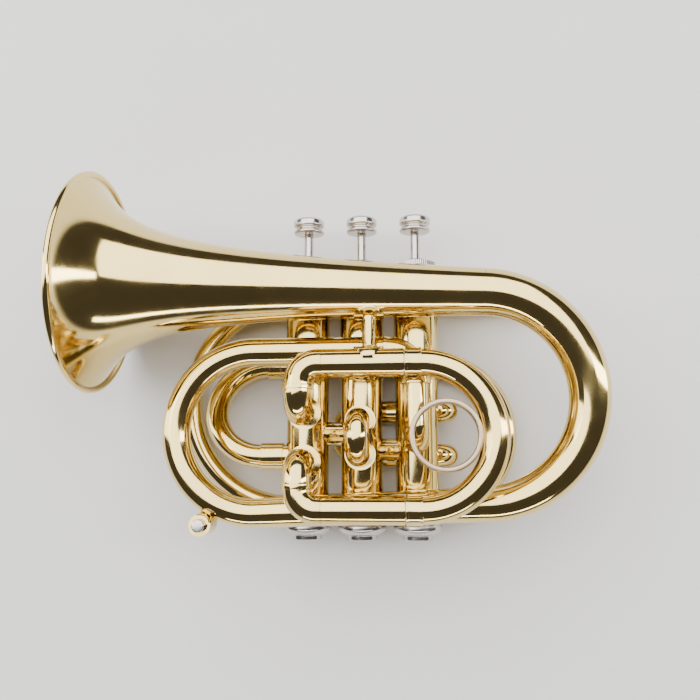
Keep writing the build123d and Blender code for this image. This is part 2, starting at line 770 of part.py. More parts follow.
with BuildPart() as tuning_inner_legs:
    for _, leg, _ in tuning_runs:
        start = at(tuning_bow_x - tuning_leg_l, leg, back_z)
        straight(start, at(tuning_bow_x, leg, back_z), leg_d, leg_d - 2 * tube_wall)
tuning_inner_legs.part.label = "tuning_inner_legs"
export_step(tuning_inner_legs.part, "parts/tuning_inner_legs.step")

with BuildPart() as tuning_bow:
    bow(
        at(tuning_bow_x, tuning_leg_down, back_z),
        at(tuning_bow_x, tuning_leg_up, back_z),
        (1, 0, 0),
        main_d,
        leg_d - 2 * tube_wall,
    )
    for _, leg, _ in tuning_runs:
        start = at(tuning_bow_x - ferrule_l, leg, back_z)
        straight(start, at(tuning_bow_x, leg, back_z), main_d + 2 * ferrule_t, leg_d)
tuning_bow.part.label = "tuning_bow"
export_step(tuning_bow.part, "parts/tuning_bow.step")

with BuildPart() as return_bow:
    bow(
        at(return_bow_x, entry_y),
        at(return_bow_x, tuning_leg_up, back_z),
        (-1, 0, 0),
        return_d,
        return_d - 2 * tube_wall,
    )
    start = at(return_bow_x, tuning_leg_up, back_z)
    straight(start, start + reducer_run, return_d, return_d - 2 * tube_wall)
return_bow.part.label = "return_bow"
export_step(return_bow.part, "parts/return_bow.step")

with BuildPart() as entry_tube:
    straight(at(return_bow_x, entry_y), at(valve_x(3), entry_y), return_d, return_d - 2 * tube_wall)
    cut_casings(3)
entry_tube.part.label = "entry_tube"
export_step(entry_tube.part, "parts/entry_tube.step")

# ================================================================ ferrules and port collars
with BuildPart() as tube_ferrules:
    entry_end = valve_x(3) - casing_r - 1.2
    straight(at(return_bow_x, entry_y), at(entry_end, entry_y), main_d, return_d)
    for joint, _, pipe_d in tuning_runs:
        straight(joint, joint + reducer_run, main_d + ferrule_t, pipe_d)
        straight(joint + reducer_run, joint + reducer_run * 2, main_d + ferrule_t, main_d)
    for leg, port in third_runs:
        middle = at(valve_x(3), (leg + port) / 2, third_z)
        band = Vector(0, knuckle_band_l / 2, 0)
        straight(middle - band, middle + band, main_d + ferrule_t, main_d)
    straight(
        at(elbow_x - ferrule_l / 4, branch_up, branch_z),
        at(elbow_x, branch_up, branch_z),
        branch_d + ferrule_t,
        branch_d,
    )
    straight(
        at(valve_x(1), branch_up - knuckle_r, branch_z),
        at(valve_x(1), branch_up - knuckle_r - ferrule_l / 3, branch_z),
        branch_d + ferrule_t,
        knuckle_d,
    )
tube_ferrules.part.label = "tube_ferrules"
export_step(tube_ferrules.part, "parts/tube_ferrules.step")

with BuildPart() as port_collars:
    collar_end = casing_r + collar_l
    for number, height, tube_d in (
        (3, third_ports[0], main_d),
        (3, third_ports[1], main_d),
        (2, second_ports[0], small_d),
        (2, second_ports[1], small_d),
    ):
        start = at(valve_x(number), height, casing_r - 3)
        straight(start, at(valve_x(number), height, collar_end), tube_d + 2 * collar_t, tube_d)
    cut_casings(2, 3)
port_collars.part.label = "port_collars"
export_step(port_collars.part, "parts/port_collars.step")


# ================================================================ braces
bell_station = (bow_top.X - at(brace_x, 0).X) / cos(tilt)
bell_distance = bell_length - bell_station
bell_seat = bow_top + bell_axis * bell_station
bell_seat_r = flare_radius(bell_distance)
third_seat = at(brace_x, third_leg_up, third_z)
post_run = (bell_seat - third_seat).normalized()
saddle_end = Vector(brace_flange_d, 0, 0)
near, far = bell_distance + brace_flange_d, bell_distance - brace_flange_d
with BuildPart() as bell_brace:
    bell_shell(-brace_flange_t, 0, near, far)
    straight(third_seat - saddle_end, third_seat + saddle_end, main_d + 2 * brace_flange_t, main_d)
    rod(third_seat, bell_seat, brace_flange_d, Mode.INTERSECT)
    rod(third_seat, bell_seat - post_run * bell_seat_r / 2, brace_d)
    bell_shell(0, bell_seat_r * 0.9, near, far, Mode.SUBTRACT)
    rod(third_seat - saddle_end, third_seat + saddle_end, main_d, Mode.SUBTRACT)
bell_brace.part.label = "bell_brace"
export_step(bell_brace.part, "parts/bell_brace.step")

link_x = valve_pitch / 2
link_share = (link_x - branch_bow_x) / (bow_x - branch_bow_x)
link_y = branch_down + link_share * (bow_foot.Y - at(0, branch_down).Y)
link_r = (branch_d + link_share * (bow_end_d - branch_d)) / 2
with BuildPart() as rear_braces:
    for number in (1, 3):
        rod(at(valve_x(number), leadpipe_y, back_z), at(valve_x(number), leadpipe_y), brace_d)
        along_valve(number, baluster_from, top_cap_base, 2 * baluster_r, Mode.SUBTRACT)
    pipe_end = valve_x(1) + brace_d
    rod(at(-pipe_end, leadpipe_y, back_z), at(pipe_end, leadpipe_y, back_z), leadpipe_d, Mode.SUBTRACT)
    rod(
        at(link_x, tuning_leg_down, back_z + main_d / 2 - tube_wall * 0.9),
        at(link_x, link_y, branch_z - link_r + bell_wall * 0.9),
        rear_brace_d,
    )
    add(bell_branch.part, mode=Mode.SUBTRACT)
    add(tuning_outer_tubes.part, mode=Mode.SUBTRACT)
rear_braces.part.label = "rear_braces"
export_step(rear_braces.part, "parts/rear_braces.step")

# ================================================================ water key
key_arm = Vector(cos(radians(key_angle)), sin(radians(key_angle)), 0)
tube_centre = at(branch_bow_x, branch_bow_y, branch_z) + key_arm * branch_bow_r
key_centre = tube_centre + key_arm * (branch_d / 2 + key_barrel_d / 2 - key_saddle_seat)
key_half = Vector(0, 0, key_barrel_l / 2)
key_bore_d = key_plunger_d + 2 * slide_fit
with BuildPart() as water_key_barrel:
    rod(key_centre - key_half, key_centre + key_half, key_barrel_d)
    rod(tube_centre, key_centre, key_saddle_d)
    rod(key_centre - key_half, key_centre + key_half, key_bore_d, Mode.SUBTRACT)
    bow(
        at(branch_bow_x, branch_down, branch_z),
        at(branch_bow_x, branch_up, branch_z),
        (-1, 0, 0),
        branch_d,
        0,
        Mode.SUBTRACT,
    )
water_key_barrel.part.label = "water_key_barrel"
export_step(water_key_barrel.part, "parts/water_key_barrel.step")

with BuildPart() as water_key_plunger:
    rod(key_centre - key_half * 0.8, key_centre + key_half + Vector(0, 0, key_head), key_plunger_d)
    fillet(water_key_plunger.edges().group_by(Axis.Z)[-1], key_edge)
water_key_plunger.part.label = "water_key_plunger"
export_step(water_key_plunger.part, "parts/water_key_plunger.step")
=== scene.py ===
"""Studio scene of a brass pocket trumpet that lies on its side on a pale floor."""

import json
import logging
import math
from dataclasses import dataclass
from enum import Enum
from typing import Iterable, Mapping, Sequence

import bmesh
import bpy
from mathutils import Matrix, Vector


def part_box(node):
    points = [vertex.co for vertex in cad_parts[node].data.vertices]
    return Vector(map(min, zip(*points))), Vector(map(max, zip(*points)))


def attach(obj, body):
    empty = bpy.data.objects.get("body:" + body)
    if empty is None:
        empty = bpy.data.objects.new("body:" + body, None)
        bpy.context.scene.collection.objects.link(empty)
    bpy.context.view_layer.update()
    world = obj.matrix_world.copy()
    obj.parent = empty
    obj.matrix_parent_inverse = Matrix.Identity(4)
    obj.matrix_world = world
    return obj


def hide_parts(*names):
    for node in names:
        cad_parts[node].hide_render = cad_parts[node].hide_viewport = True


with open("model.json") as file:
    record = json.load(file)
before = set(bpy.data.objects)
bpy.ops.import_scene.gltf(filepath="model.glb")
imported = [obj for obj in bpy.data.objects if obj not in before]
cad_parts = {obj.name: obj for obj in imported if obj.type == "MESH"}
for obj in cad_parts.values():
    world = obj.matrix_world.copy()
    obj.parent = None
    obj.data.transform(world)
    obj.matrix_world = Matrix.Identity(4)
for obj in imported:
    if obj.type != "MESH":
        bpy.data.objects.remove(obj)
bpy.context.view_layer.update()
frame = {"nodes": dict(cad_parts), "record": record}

MM = 0.001
BUMP_DEPTH = 0.00012
TUBE_WALL = 0.5
SLIDE_FIT = 0.05
BAND_L = 0.9
BAND_STEP = 0.22
BAND_EDGE = 0.08
log = logging.getLogger("pocket_trumpet")

Profile = list[tuple[float, float]]
SoftBox = tuple[str, tuple[float, float, float], tuple[float, float], float]


class Body(Enum):
    """The moving bodies that a piece can ride on."""

    HORN = "horn"
    VALVE_1 = "valve_1"
    VALVE_2 = "valve_2"
    VALVE_3 = "valve_3"
    THIRD = "third_slide"
    SECOND = "second_slide"
    FIRST = "first_slide"
    TUNING = "tuning_slide"
    KEY = "water_key"


class Slot(Enum):
    """The record's material slots."""

    BRASS = "lacquered_brass"
    NICKEL = "nickel_plate"
    NICKEL_SILVER = "nickel_silver"
    MONEL = "monel"
    STEEL = "spring_steel"
    PEARL = "pearl"
    FELT = "felt"


# ---------------------------------------------------------------- shader bench
class Signal:
    """A number that varies over a surface, kept as a socket that expressions can use."""

    def __init__(self, bench: "Bench", socket: bpy.types.NodeSocket) -> None:
        """Wrap a socket.

        Args:
            bench: The node tree builder that the socket belongs to.
            socket: The output socket that carries the number.
        """
        self.bench = bench
        self.socket = socket

    def _math(self, operation: str, first: object, second: object) -> "Signal":
        """Add a Math node.

        Args:
            operation: The Math node's operation.
            first: The first operand, a Signal or a number.
            second: The second operand, a Signal or a number.

        Returns:
            The node's result.
        """
        node = self.bench.node("ShaderNodeMath", {"operation": operation}, {0: first, 1: second})
        return Signal(self.bench, node.outputs[0])

    def __add__(self, other: object) -> "Signal":
        """Return self + other."""
        return self._math("ADD", self, other)

    def __radd__(self, other: object) -> "Signal":
        """Return other + self."""
        return self._math("ADD", other, self)

    def __sub__(self, other: object) -> "Signal":
        """Return self - other."""
        return self._math("SUBTRACT", self, other)

    def __rsub__(self, other: object) -> "Signal":
        """Return other - self."""
        return self._math("SUBTRACT", other, self)

    def __mul__(self, other: object) -> "Signal":
        """Return self * other."""
        return self._math("MULTIPLY", self, other)

    def __rmul__(self, other: object) -> "Signal":
        """Return other * self."""
        return self._math("MULTIPLY", other, self)


class Bench:
    """Builds one material's or one geometry tree's nodes."""

    def __init__(self, tree: bpy.types.NodeTree) -> None:
        """Start on an empty tree.

        Args:
            tree: The tree that gets the nodes.
        """
        self.tree = tree
        self.tree.nodes.clear()

    def node(
        self,
        kind: str,
        settings: Mapping[str, object] | None = None,
        inputs: Mapping[object, object] | None = None,
    ) -> bpy.types.Node:
        """Add a node, set its settings and then its sockets.

        Args:
            kind: The node's type name.
            settings: Properties by name; "stops" sets a ramp's (position, colour) stops.
            inputs: Values or links by socket name or number.

        Returns:
            The new node.
        """
        made = self.tree.nodes.new(kind)
        for name, value in (settings or {}).items():
            if name == "stops":
                self._set_stops(made.color_ramp, value)
            else:
                setattr(made, name, value)
        for key, value in (inputs or {}).items():
            source = value.socket if isinstance(value, Signal) else value
            if isinstance(source, bpy.types.NodeSocket):
                self.tree.links.new(source, made.inputs[key])
            else:
                made.inputs[key].default_value = source
        return made

    @staticmethod
    def _set_stops(ramp: bpy.types.ColorRamp, stops: Sequence[tuple[float, Sequence[float]]]) -> None:
        """Give a ramp its stops.

        Args:
            ramp: The colour ramp.
            stops: Positions and RGB colours, from low to high.
        """
        while len(ramp.elements) < len(stops):
            ramp.elements.new(1.0)
        for element, (position, colour) in zip(ramp.elements, stops):
            element.position = position
            element.color = (*colour, 1.0)

    def noise(
        self, place: bpy.types.NodeSocket, scale: float, detail: float = 2.0, warp: float = 0.0
    ) -> Signal:
        """Add a noise pattern.

        Args:
            place: The coordinates that it reads.
            scale: Features per metre.
            detail: Octaves.
            warp: Distortion.

        Returns:
            The pattern, from 0 to 1.
        """
        made = self.node(
            "ShaderNodeTexNoise", {}, {"Vector": place, "Scale": scale, "Detail": detail, "Distortion": warp}
        )
        return Signal(self, made.outputs[0])

    def blend(self, share: Signal, low: Sequence[float], high: object) -> bpy.types.NodeSocket:
        """Mix two colours.

        Args:
            share: How much of the second colour shows.
            low: The first colour, RGB.
            high: The second colour, RGB or a socket.

        Returns:
            The mixed colour.
        """
        second = high if isinstance(high, bpy.types.NodeSocket) else (*high, 1.0)
        first = low if isinstance(low, bpy.types.NodeSocket) else (*low, 1.0)
        settings = {"data_type": "RGBA", "clamp_factor": True}
        made = self.node("ShaderNodeMix", settings, {0: share, 6: first, 7: second})
        return made.outputs[2]


@dataclass(frozen=True)
class Metal:
    """A polished or plated metal with patina, smudges and fine polishing lines."""

    name: str
    colour: tuple[float, float, float]
    patina: tuple[float, float, float]
    patina_share: float
    patina_scale: float
    gloss: float
    dull: float
    coat: float
    grain: float
    grain_stretch: tuple[float, float, float] = (1.0, 1.0, 1.0)

    def make(self) -> bpy.types.Material:
        """Build the material.

        Returns:
            The finished material.
        """
        material = bpy.data.materials.new(self.name)
        material.use_nodes = True
        bench = Bench(material.node_tree)
        place = bench.node("ShaderNodeTexCoord").outputs["Object"]
        stretched = bench.node("ShaderNodeMapping", {}, {"Vector": place, "Scale": self.grain_stretch})
        clouds = bench.noise(place, self.patina_scale, 4.0, 0.6)
        spots = bench.noise(place, self.patina_scale * 9.0, 3.0)
        smudge = bench.noise(place, 70.0, 3.0, 1.2)
        lines = bench.noise(stretched.outputs[0], 2600.0, 2.0)
        mottle = (clouds * 1.7 - 0.45) * 0.7 + (spots * 1.5 - 0.5) * 0.3
        colour = bench.blend(mottle * self.patina_share, self.colour, self.patina)
        roughness = self.gloss + (smudge * 1.8 - 0.4) * (self.dull - self.gloss) + lines * 0.02
        ripple = bench.noise(place, 45.0, 1.0)
        relief = bench.node(
            "ShaderNodeBump",
            {},
            {"Strength": self.grain, "Distance": BUMP_DEPTH, "Height": lines * 0.4 + ripple},
        )
        shader = bench.node(
            "ShaderNodeBsdfPrincipled",
            {},
            {
                "Base Color": colour,
                "Metallic": 1.0,
                "Roughness": roughness,
                "Coat Weight": self.coat,
                "Coat Roughness": 0.04,
                "Normal": relief.outputs[0],
            },
        )
        bench.node("ShaderNodeOutputMaterial", {}, {"Surface": shader.outputs[0]})
        return material


@dataclass(frozen=True)
class Pearl:
    """Dark mother-of-pearl with a drifting blue and rose sheen."""

    name: str = "pearl_inlay"
    dark: tuple[float, float, float] = (0.10, 0.14, 0.22)
    pale: tuple[float, float, float] = (0.62, 0.68, 0.74)
    rose: tuple[float, float, float] = (0.55, 0.42, 0.46)

    def make(self) -> bpy.types.Material:
        """Build the material.

        Returns:
            The finished material.
        """
        material = bpy.data.materials.new(self.name)
        material.use_nodes = True
        bench = Bench(material.node_tree)
        place = bench.node("ShaderNodeTexCoord").outputs["Object"]
        drift = bench.noise(place, 210.0, 3.0, 2.5)
        bands = bench.node(
            "ShaderNodeTexWave",
            {"bands_direction": "X"},
            {"Vector": place, "Scale": 90.0, "Distortion": 9.0, "Detail": 3.0, "Detail Scale": 1.4},
        )
        wave = Signal(bench, bands.outputs["Fac"])
        tone = bench.node(
            "ShaderNodeValToRGB",
            {"stops": [(0.25, self.dark), (0.55, self.pale), (0.8, self.rose)]},
            {0: drift * 0.7 + wave * 0.35},
        )
        relief = bench.node("ShaderNodeBump", {}, {"Strength": 0.08, "Distance": 0.0001, "Height": wave})
        shader = bench.node(
            "ShaderNodeBsdfPrincipled",
            {},
            {
                "Base Color": tone.outputs[0],
                "Roughness": 0.12 + drift * 0.1,
                "Coat Weight": 0.9,
                "Coat Roughness": 0.03,
                "Normal": relief.outputs[0],
            },
        )
        bench.node("ShaderNodeOutputMaterial", {}, {"Surface": shader.outputs[0]})
        return material


@dataclass(frozen=True)
class Cloth:
    """A matt fibrous surface, for felts and for the studio floor."""

    name: str
    colour: tuple[float, float, float]
    shade: tuple[float, float, float]
    fibre_scale: float
    relief: float
    roughness: float

    def make(self) -> bpy.types.Material:
        """Build the material.

        Returns:
            The finished material.
        """
        material = bpy.data.materials.new(self.name)
        material.use_nodes = True
        bench = Bench(material.node_tree)
        place = bench.node("ShaderNodeTexCoord").outputs["Object"]
        fibres = bench.noise(place, self.fibre_scale, 5.0, 0.8)
        tone = bench.blend(fibres, self.colour, self.shade)
        relief = bench.node(
            "ShaderNodeBump", {}, {"Strength": self.relief, "Distance": 0.0002, "Height": fibres}
        )
        shader = bench.node(
            "ShaderNodeBsdfPrincipled",
            {},
            {"Base Color": tone, "Roughness": self.roughness + fibres * 0.1, "Normal": relief.outputs[0]},
        )
        bench.node("ShaderNodeOutputMaterial", {}, {"Surface": shader.outputs[0]})
        return material


class Finishes:
    """Every finish of the instrument, made once."""

    def __init__(self) -> None:
        """Make the materials."""
        recipes = {
            Slot.BRASS: Metal(
                "lacquered_brass", (0.82, 0.63, 0.24), (0.56, 0.39, 0.11), 0.6, 26.0, 0.05, 0.13, 0.35, 0.06
            ),
            Slot.NICKEL: Metal(
                "nickel_plate", (0.60, 0.56, 0.53), (0.44, 0.39, 0.35), 0.45, 60.0, 0.13, 0.25, 0.0, 0.1
            ),
            Slot.NICKEL_SILVER: Metal(
                "nickel_silver", (0.52, 0.40, 0.26), (0.38, 0.27, 0.16), 0.55, 60.0, 0.22, 0.36, 0.0, 0.12
            ),
            Slot.MONEL: Metal(
                "monel",
                (0.66, 0.63, 0.58),
                (0.50, 0.46, 0.40),
                0.5,
                80.0,
                0.16,
                0.26,
                0.0,
                0.3,
                (1.0, 0.05, 1.0),
            ),
            Slot.STEEL: Metal(
                "spring_steel", (0.55, 0.55, 0.57), (0.34, 0.31, 0.28), 0.5, 120.0, 0.2, 0.32, 0.0, 0.2
            ),
            Slot.PEARL: Pearl(),
            Slot.FELT: Cloth("valve_felt", (0.035, 0.035, 0.04), (0.11, 0.11, 0.12), 1900.0, 0.9, 0.88),
        }
        self.made = {slot: recipe.make() for slot, recipe in recipes.items()}

    def __getitem__(self, slot: Slot) -> bpy.types.Material:
        """Return a slot's material."""
        return self.made[slot]


# ---------------------------------------------------------------- places and sections
@dataclass(frozen=True)
class Datum:
    """Valve 2's axis at the height of its ports, from which every place is measured."""

    origin: Vector
    casing_below: float = 40.5

    @classmethod
    def from_frame(cls) -> "Datum":
        """Find the datum from the middle casing.

        Returns:
            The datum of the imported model.
        """
        low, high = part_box("valve_casing_2")
        return cls(Vector(((low.x + high.x) / 2, low.y + cls.casing_below * MM, (low.z + high.z) / 2)))

    def at(self, x: float, y: float, z: float = 0.0) -> Vector:
        """Turn millimetres from the datum into a place in the row's frame.

        Args:
            x: Towards the player.
            y: Towards the buttons.
            z: Up from the table.

        Returns:
            The place, in metres.
        """
        return self.origin + Vector((x, y, z)) * MM


class Route:
    """A tube's centreline, made of straight runs and bends, with a radius at each point."""

    def __init__(self, start: Vector, radius: float, step: float = 2.5) -> None:
        """Start a route.

        Args:
            start: Its first point, in metres.
            radius: The tube's outer radius there, millimetres.
            step: Degrees between points on a bend.
        """
        self.points = [start.copy()]
        self.radii = [radius]
        self.step = step

    def line(self, end: Vector, radius: float | None = None) -> "Route":
        """Run straight to a point.

        Args:
            end: The run's end, in metres.
            radius: The radius there, or the last one.

        Returns:
            The route itself.
        """
        if (end - self.points[-1]).length > 1e-7:
            self.points.append(end.copy())
            self.radii.append(self.radii[-1] if radius is None else radius)
        return self

    def bend(self, centre: Vector, axis: Vector, degrees: float, radius: float | None = None) -> "Route":
        """Bend about an axis.

        Args:
            centre: The bend's centre, in metres.
            axis: Its axis; the turn is right-handed about it.
            degrees: The angle turned.
            radius: The radius at its end, or the last one.

        Returns:
            The route itself.
        """
        arm = self.points[-1] - centre
        first, last = self.radii[-1], self.radii[-1] if radius is None else radius
        count = max(4, round(abs(degrees) / self.step))
        for k in range(1, count + 1):
            turn = Matrix.Rotation(math.radians(degrees * k / count), 3, axis)
            self.points.append(centre + turn @ arm)
            self.radii.append(first + (last - first) * k / count)
        return self

    @classmethod
    def rounded(cls, corners: Sequence[Vector], bend_mm: float, radius: float) -> "Route":
        """Round the corners of a run of straight pieces.

        Args:
            corners: The run's corners, in metres.
            bend_mm: The bend radius at each inner corner.
            radius: The tube's radius.

        Returns:
            The rounded route.
        """
        route = cls(corners[0], radius)
        for before, corner, after in zip(corners, corners[1:], corners[2:]):
            into, out = (corner - before).normalized(), (after - corner).normalized()
            angle = into.angle(out)
            back = bend_mm * MM * math.tan(angle / 2)
            start, axis = corner - into * back, into.cross(out).normalized()
            route.line(start)
            route.bend(start + axis.cross(into) * bend_mm * MM, axis, math.degrees(angle))
        return route.line(corners[-1])


def soften(corners: Sequence[tuple[float, float]], radius: float, closed: bool, steps: int = 4) -> Profile:
    """Round the corners of a turned section, so that its edges catch the light.

    Args:
        corners: The section's corners, as distance along the axis and radius, millimetres.
        radius: The largest rounding.
        closed: Whether the last corner joins the first.
        steps: Points on each rounding.

    Returns:
        The rounded section.
    """
    points = [Vector(c) for c in corners]
    count = len(points)
    rounded: Profile = []
    for k, corner in enumerate(points):
        if not closed and k in (0, count - 1):
            rounded.append(tuple(corner))
            continue
        before, after = points[k - 1], points[(k + 1) % count]
        reach = min(radius, (before - corner).length * 0.45, (after - corner).length * 0.45)
        start = corner + (before - corner).normalized() * reach
        end = corner + (after - corner).normalized() * reach
        for j in range(steps + 1):
            t = j / steps
            place = start * (1 - t) ** 2 + corner * 2 * t * (1 - t) + end * t**2
            rounded.append(tuple(place))
    return rounded


# ---------------------------------------------------------------- geometry trees
class TubeTree:
    """Geometry Nodes that sweep a round tube along every centreline of a host mesh."""

    RADIUS = "pipe_radius"

    def __init__(self) -> None:
        """Build the tree."""
        self.tree = bpy.data.node_groups.new("swept_tube", "GeometryNodeTree")
        bench = Bench(self.tree)
        face = self.tree.interface
        face.new_socket("Centrelines", in_out="INPUT", socket_type="NodeSocketGeometry")
        self.sides = face.new_socket("Sides", in_out="INPUT", socket_type="NodeSocketInt").identifier
        self.finish = face.new_socket("Finish", in_out="INPUT", socket_type="NodeSocketMaterial").identifier
        face.new_socket("Tube", in_out="OUTPUT", socket_type="NodeSocketGeometry")
        given = bench.node("NodeGroupInput").outputs
        lines = bench.node("GeometryNodeMeshToCurve", {}, {0: given["Centrelines"]})
        width = bench.node("GeometryNodeInputNamedAttribute", {"data_type": "FLOAT"}, {"Name": self.RADIUS})
        sized = bench.node(
            "GeometryNodeSetCurveRadius", {}, {"Curve": lines.outputs[0], "Radius": width.outputs[0]}
        )
        ring = bench.node(
            "GeometryNodeCurvePrimitiveCircle",
            {"mode": "RADIUS"},
            {"Resolution": given["Sides"], "Radius": 1.0},
        )
        swept = bench.node(
            "GeometryNodeCurveToMesh",
            {},
            {"Curve": sized.outputs[0], "Profile Curve": ring.outputs[0], "Fill Caps": True},
        )
        if "Scale" in swept.inputs:
            again = bench.node("GeometryNodeInputRadius")
            self.tree.links.new(again.outputs[0], swept.inputs["Scale"])
        real = bench.node("GeometryNodeRealizeInstances", {}, {0: swept.outputs[0]})
        dressed = bench.node(
            "GeometryNodeSetMaterial", {}, {"Geometry": real.outputs[0], "Material": given["Finish"]}
        )
        bench.node("NodeGroupOutput", {}, {0: dressed.outputs[0]})


class KnurlTree:
    """Geometry Nodes that set small upright ridges round a circle, for a knurled cap edge."""

    def __init__(self) -> None:
        """Build the tree."""
        self.tree = bpy.data.node_groups.new("knurled_ring", "GeometryNodeTree")
        bench = Bench(self.tree)
        face = self.tree.interface
        face.new_socket("Host", in_out="INPUT", socket_type="NodeSocketGeometry")
        self.count = face.new_socket("Ridges", in_out="INPUT", socket_type="NodeSocketInt").identifier
        self.radius = face.new_socket("Ring Radius", in_out="INPUT", socket_type="NodeSocketFloat").identifier
        self.ridge = face.new_socket("Ridge Radius", in_out="INPUT", socket_type="NodeSocketFloat").identifier
        self.height = face.new_socket(
            "Ridge Height", in_out="INPUT", socket_type="NodeSocketFloat"
        ).identifier
        self.finish = face.new_socket("Finish", in_out="INPUT", socket_type="NodeSocketMaterial").identifier
        face.new_socket("Ring", in_out="OUTPUT", socket_type="NodeSocketGeometry")
        given = bench.node("NodeGroupInput").outputs
        circle = bench.node(
            "GeometryNodeMeshCircle", {}, {"Vertices": given["Ridges"], "Radius": given["Ring Radius"]}
        )
        ridge = bench.node(
            "GeometryNodeMeshCylinder",
            {},
            {"Vertices": 8, "Radius": given["Ridge Radius"], "Depth": given["Ridge Height"]},
        )
        spread = bench.node(
            "GeometryNodeInstanceOnPoints", {}, {"Points": circle.outputs[0], "Instance": ridge.outputs[0]}
        )
        real = bench.node("GeometryNodeRealizeInstances", {}, {0: spread.outputs[0]})
        dressed = bench.node(
            "GeometryNodeSetMaterial", {}, {"Geometry": real.outputs[0], "Material": given["Finish"]}
        )
        bench.node("NodeGroupOutput", {}, {0: dressed.outputs[0]})


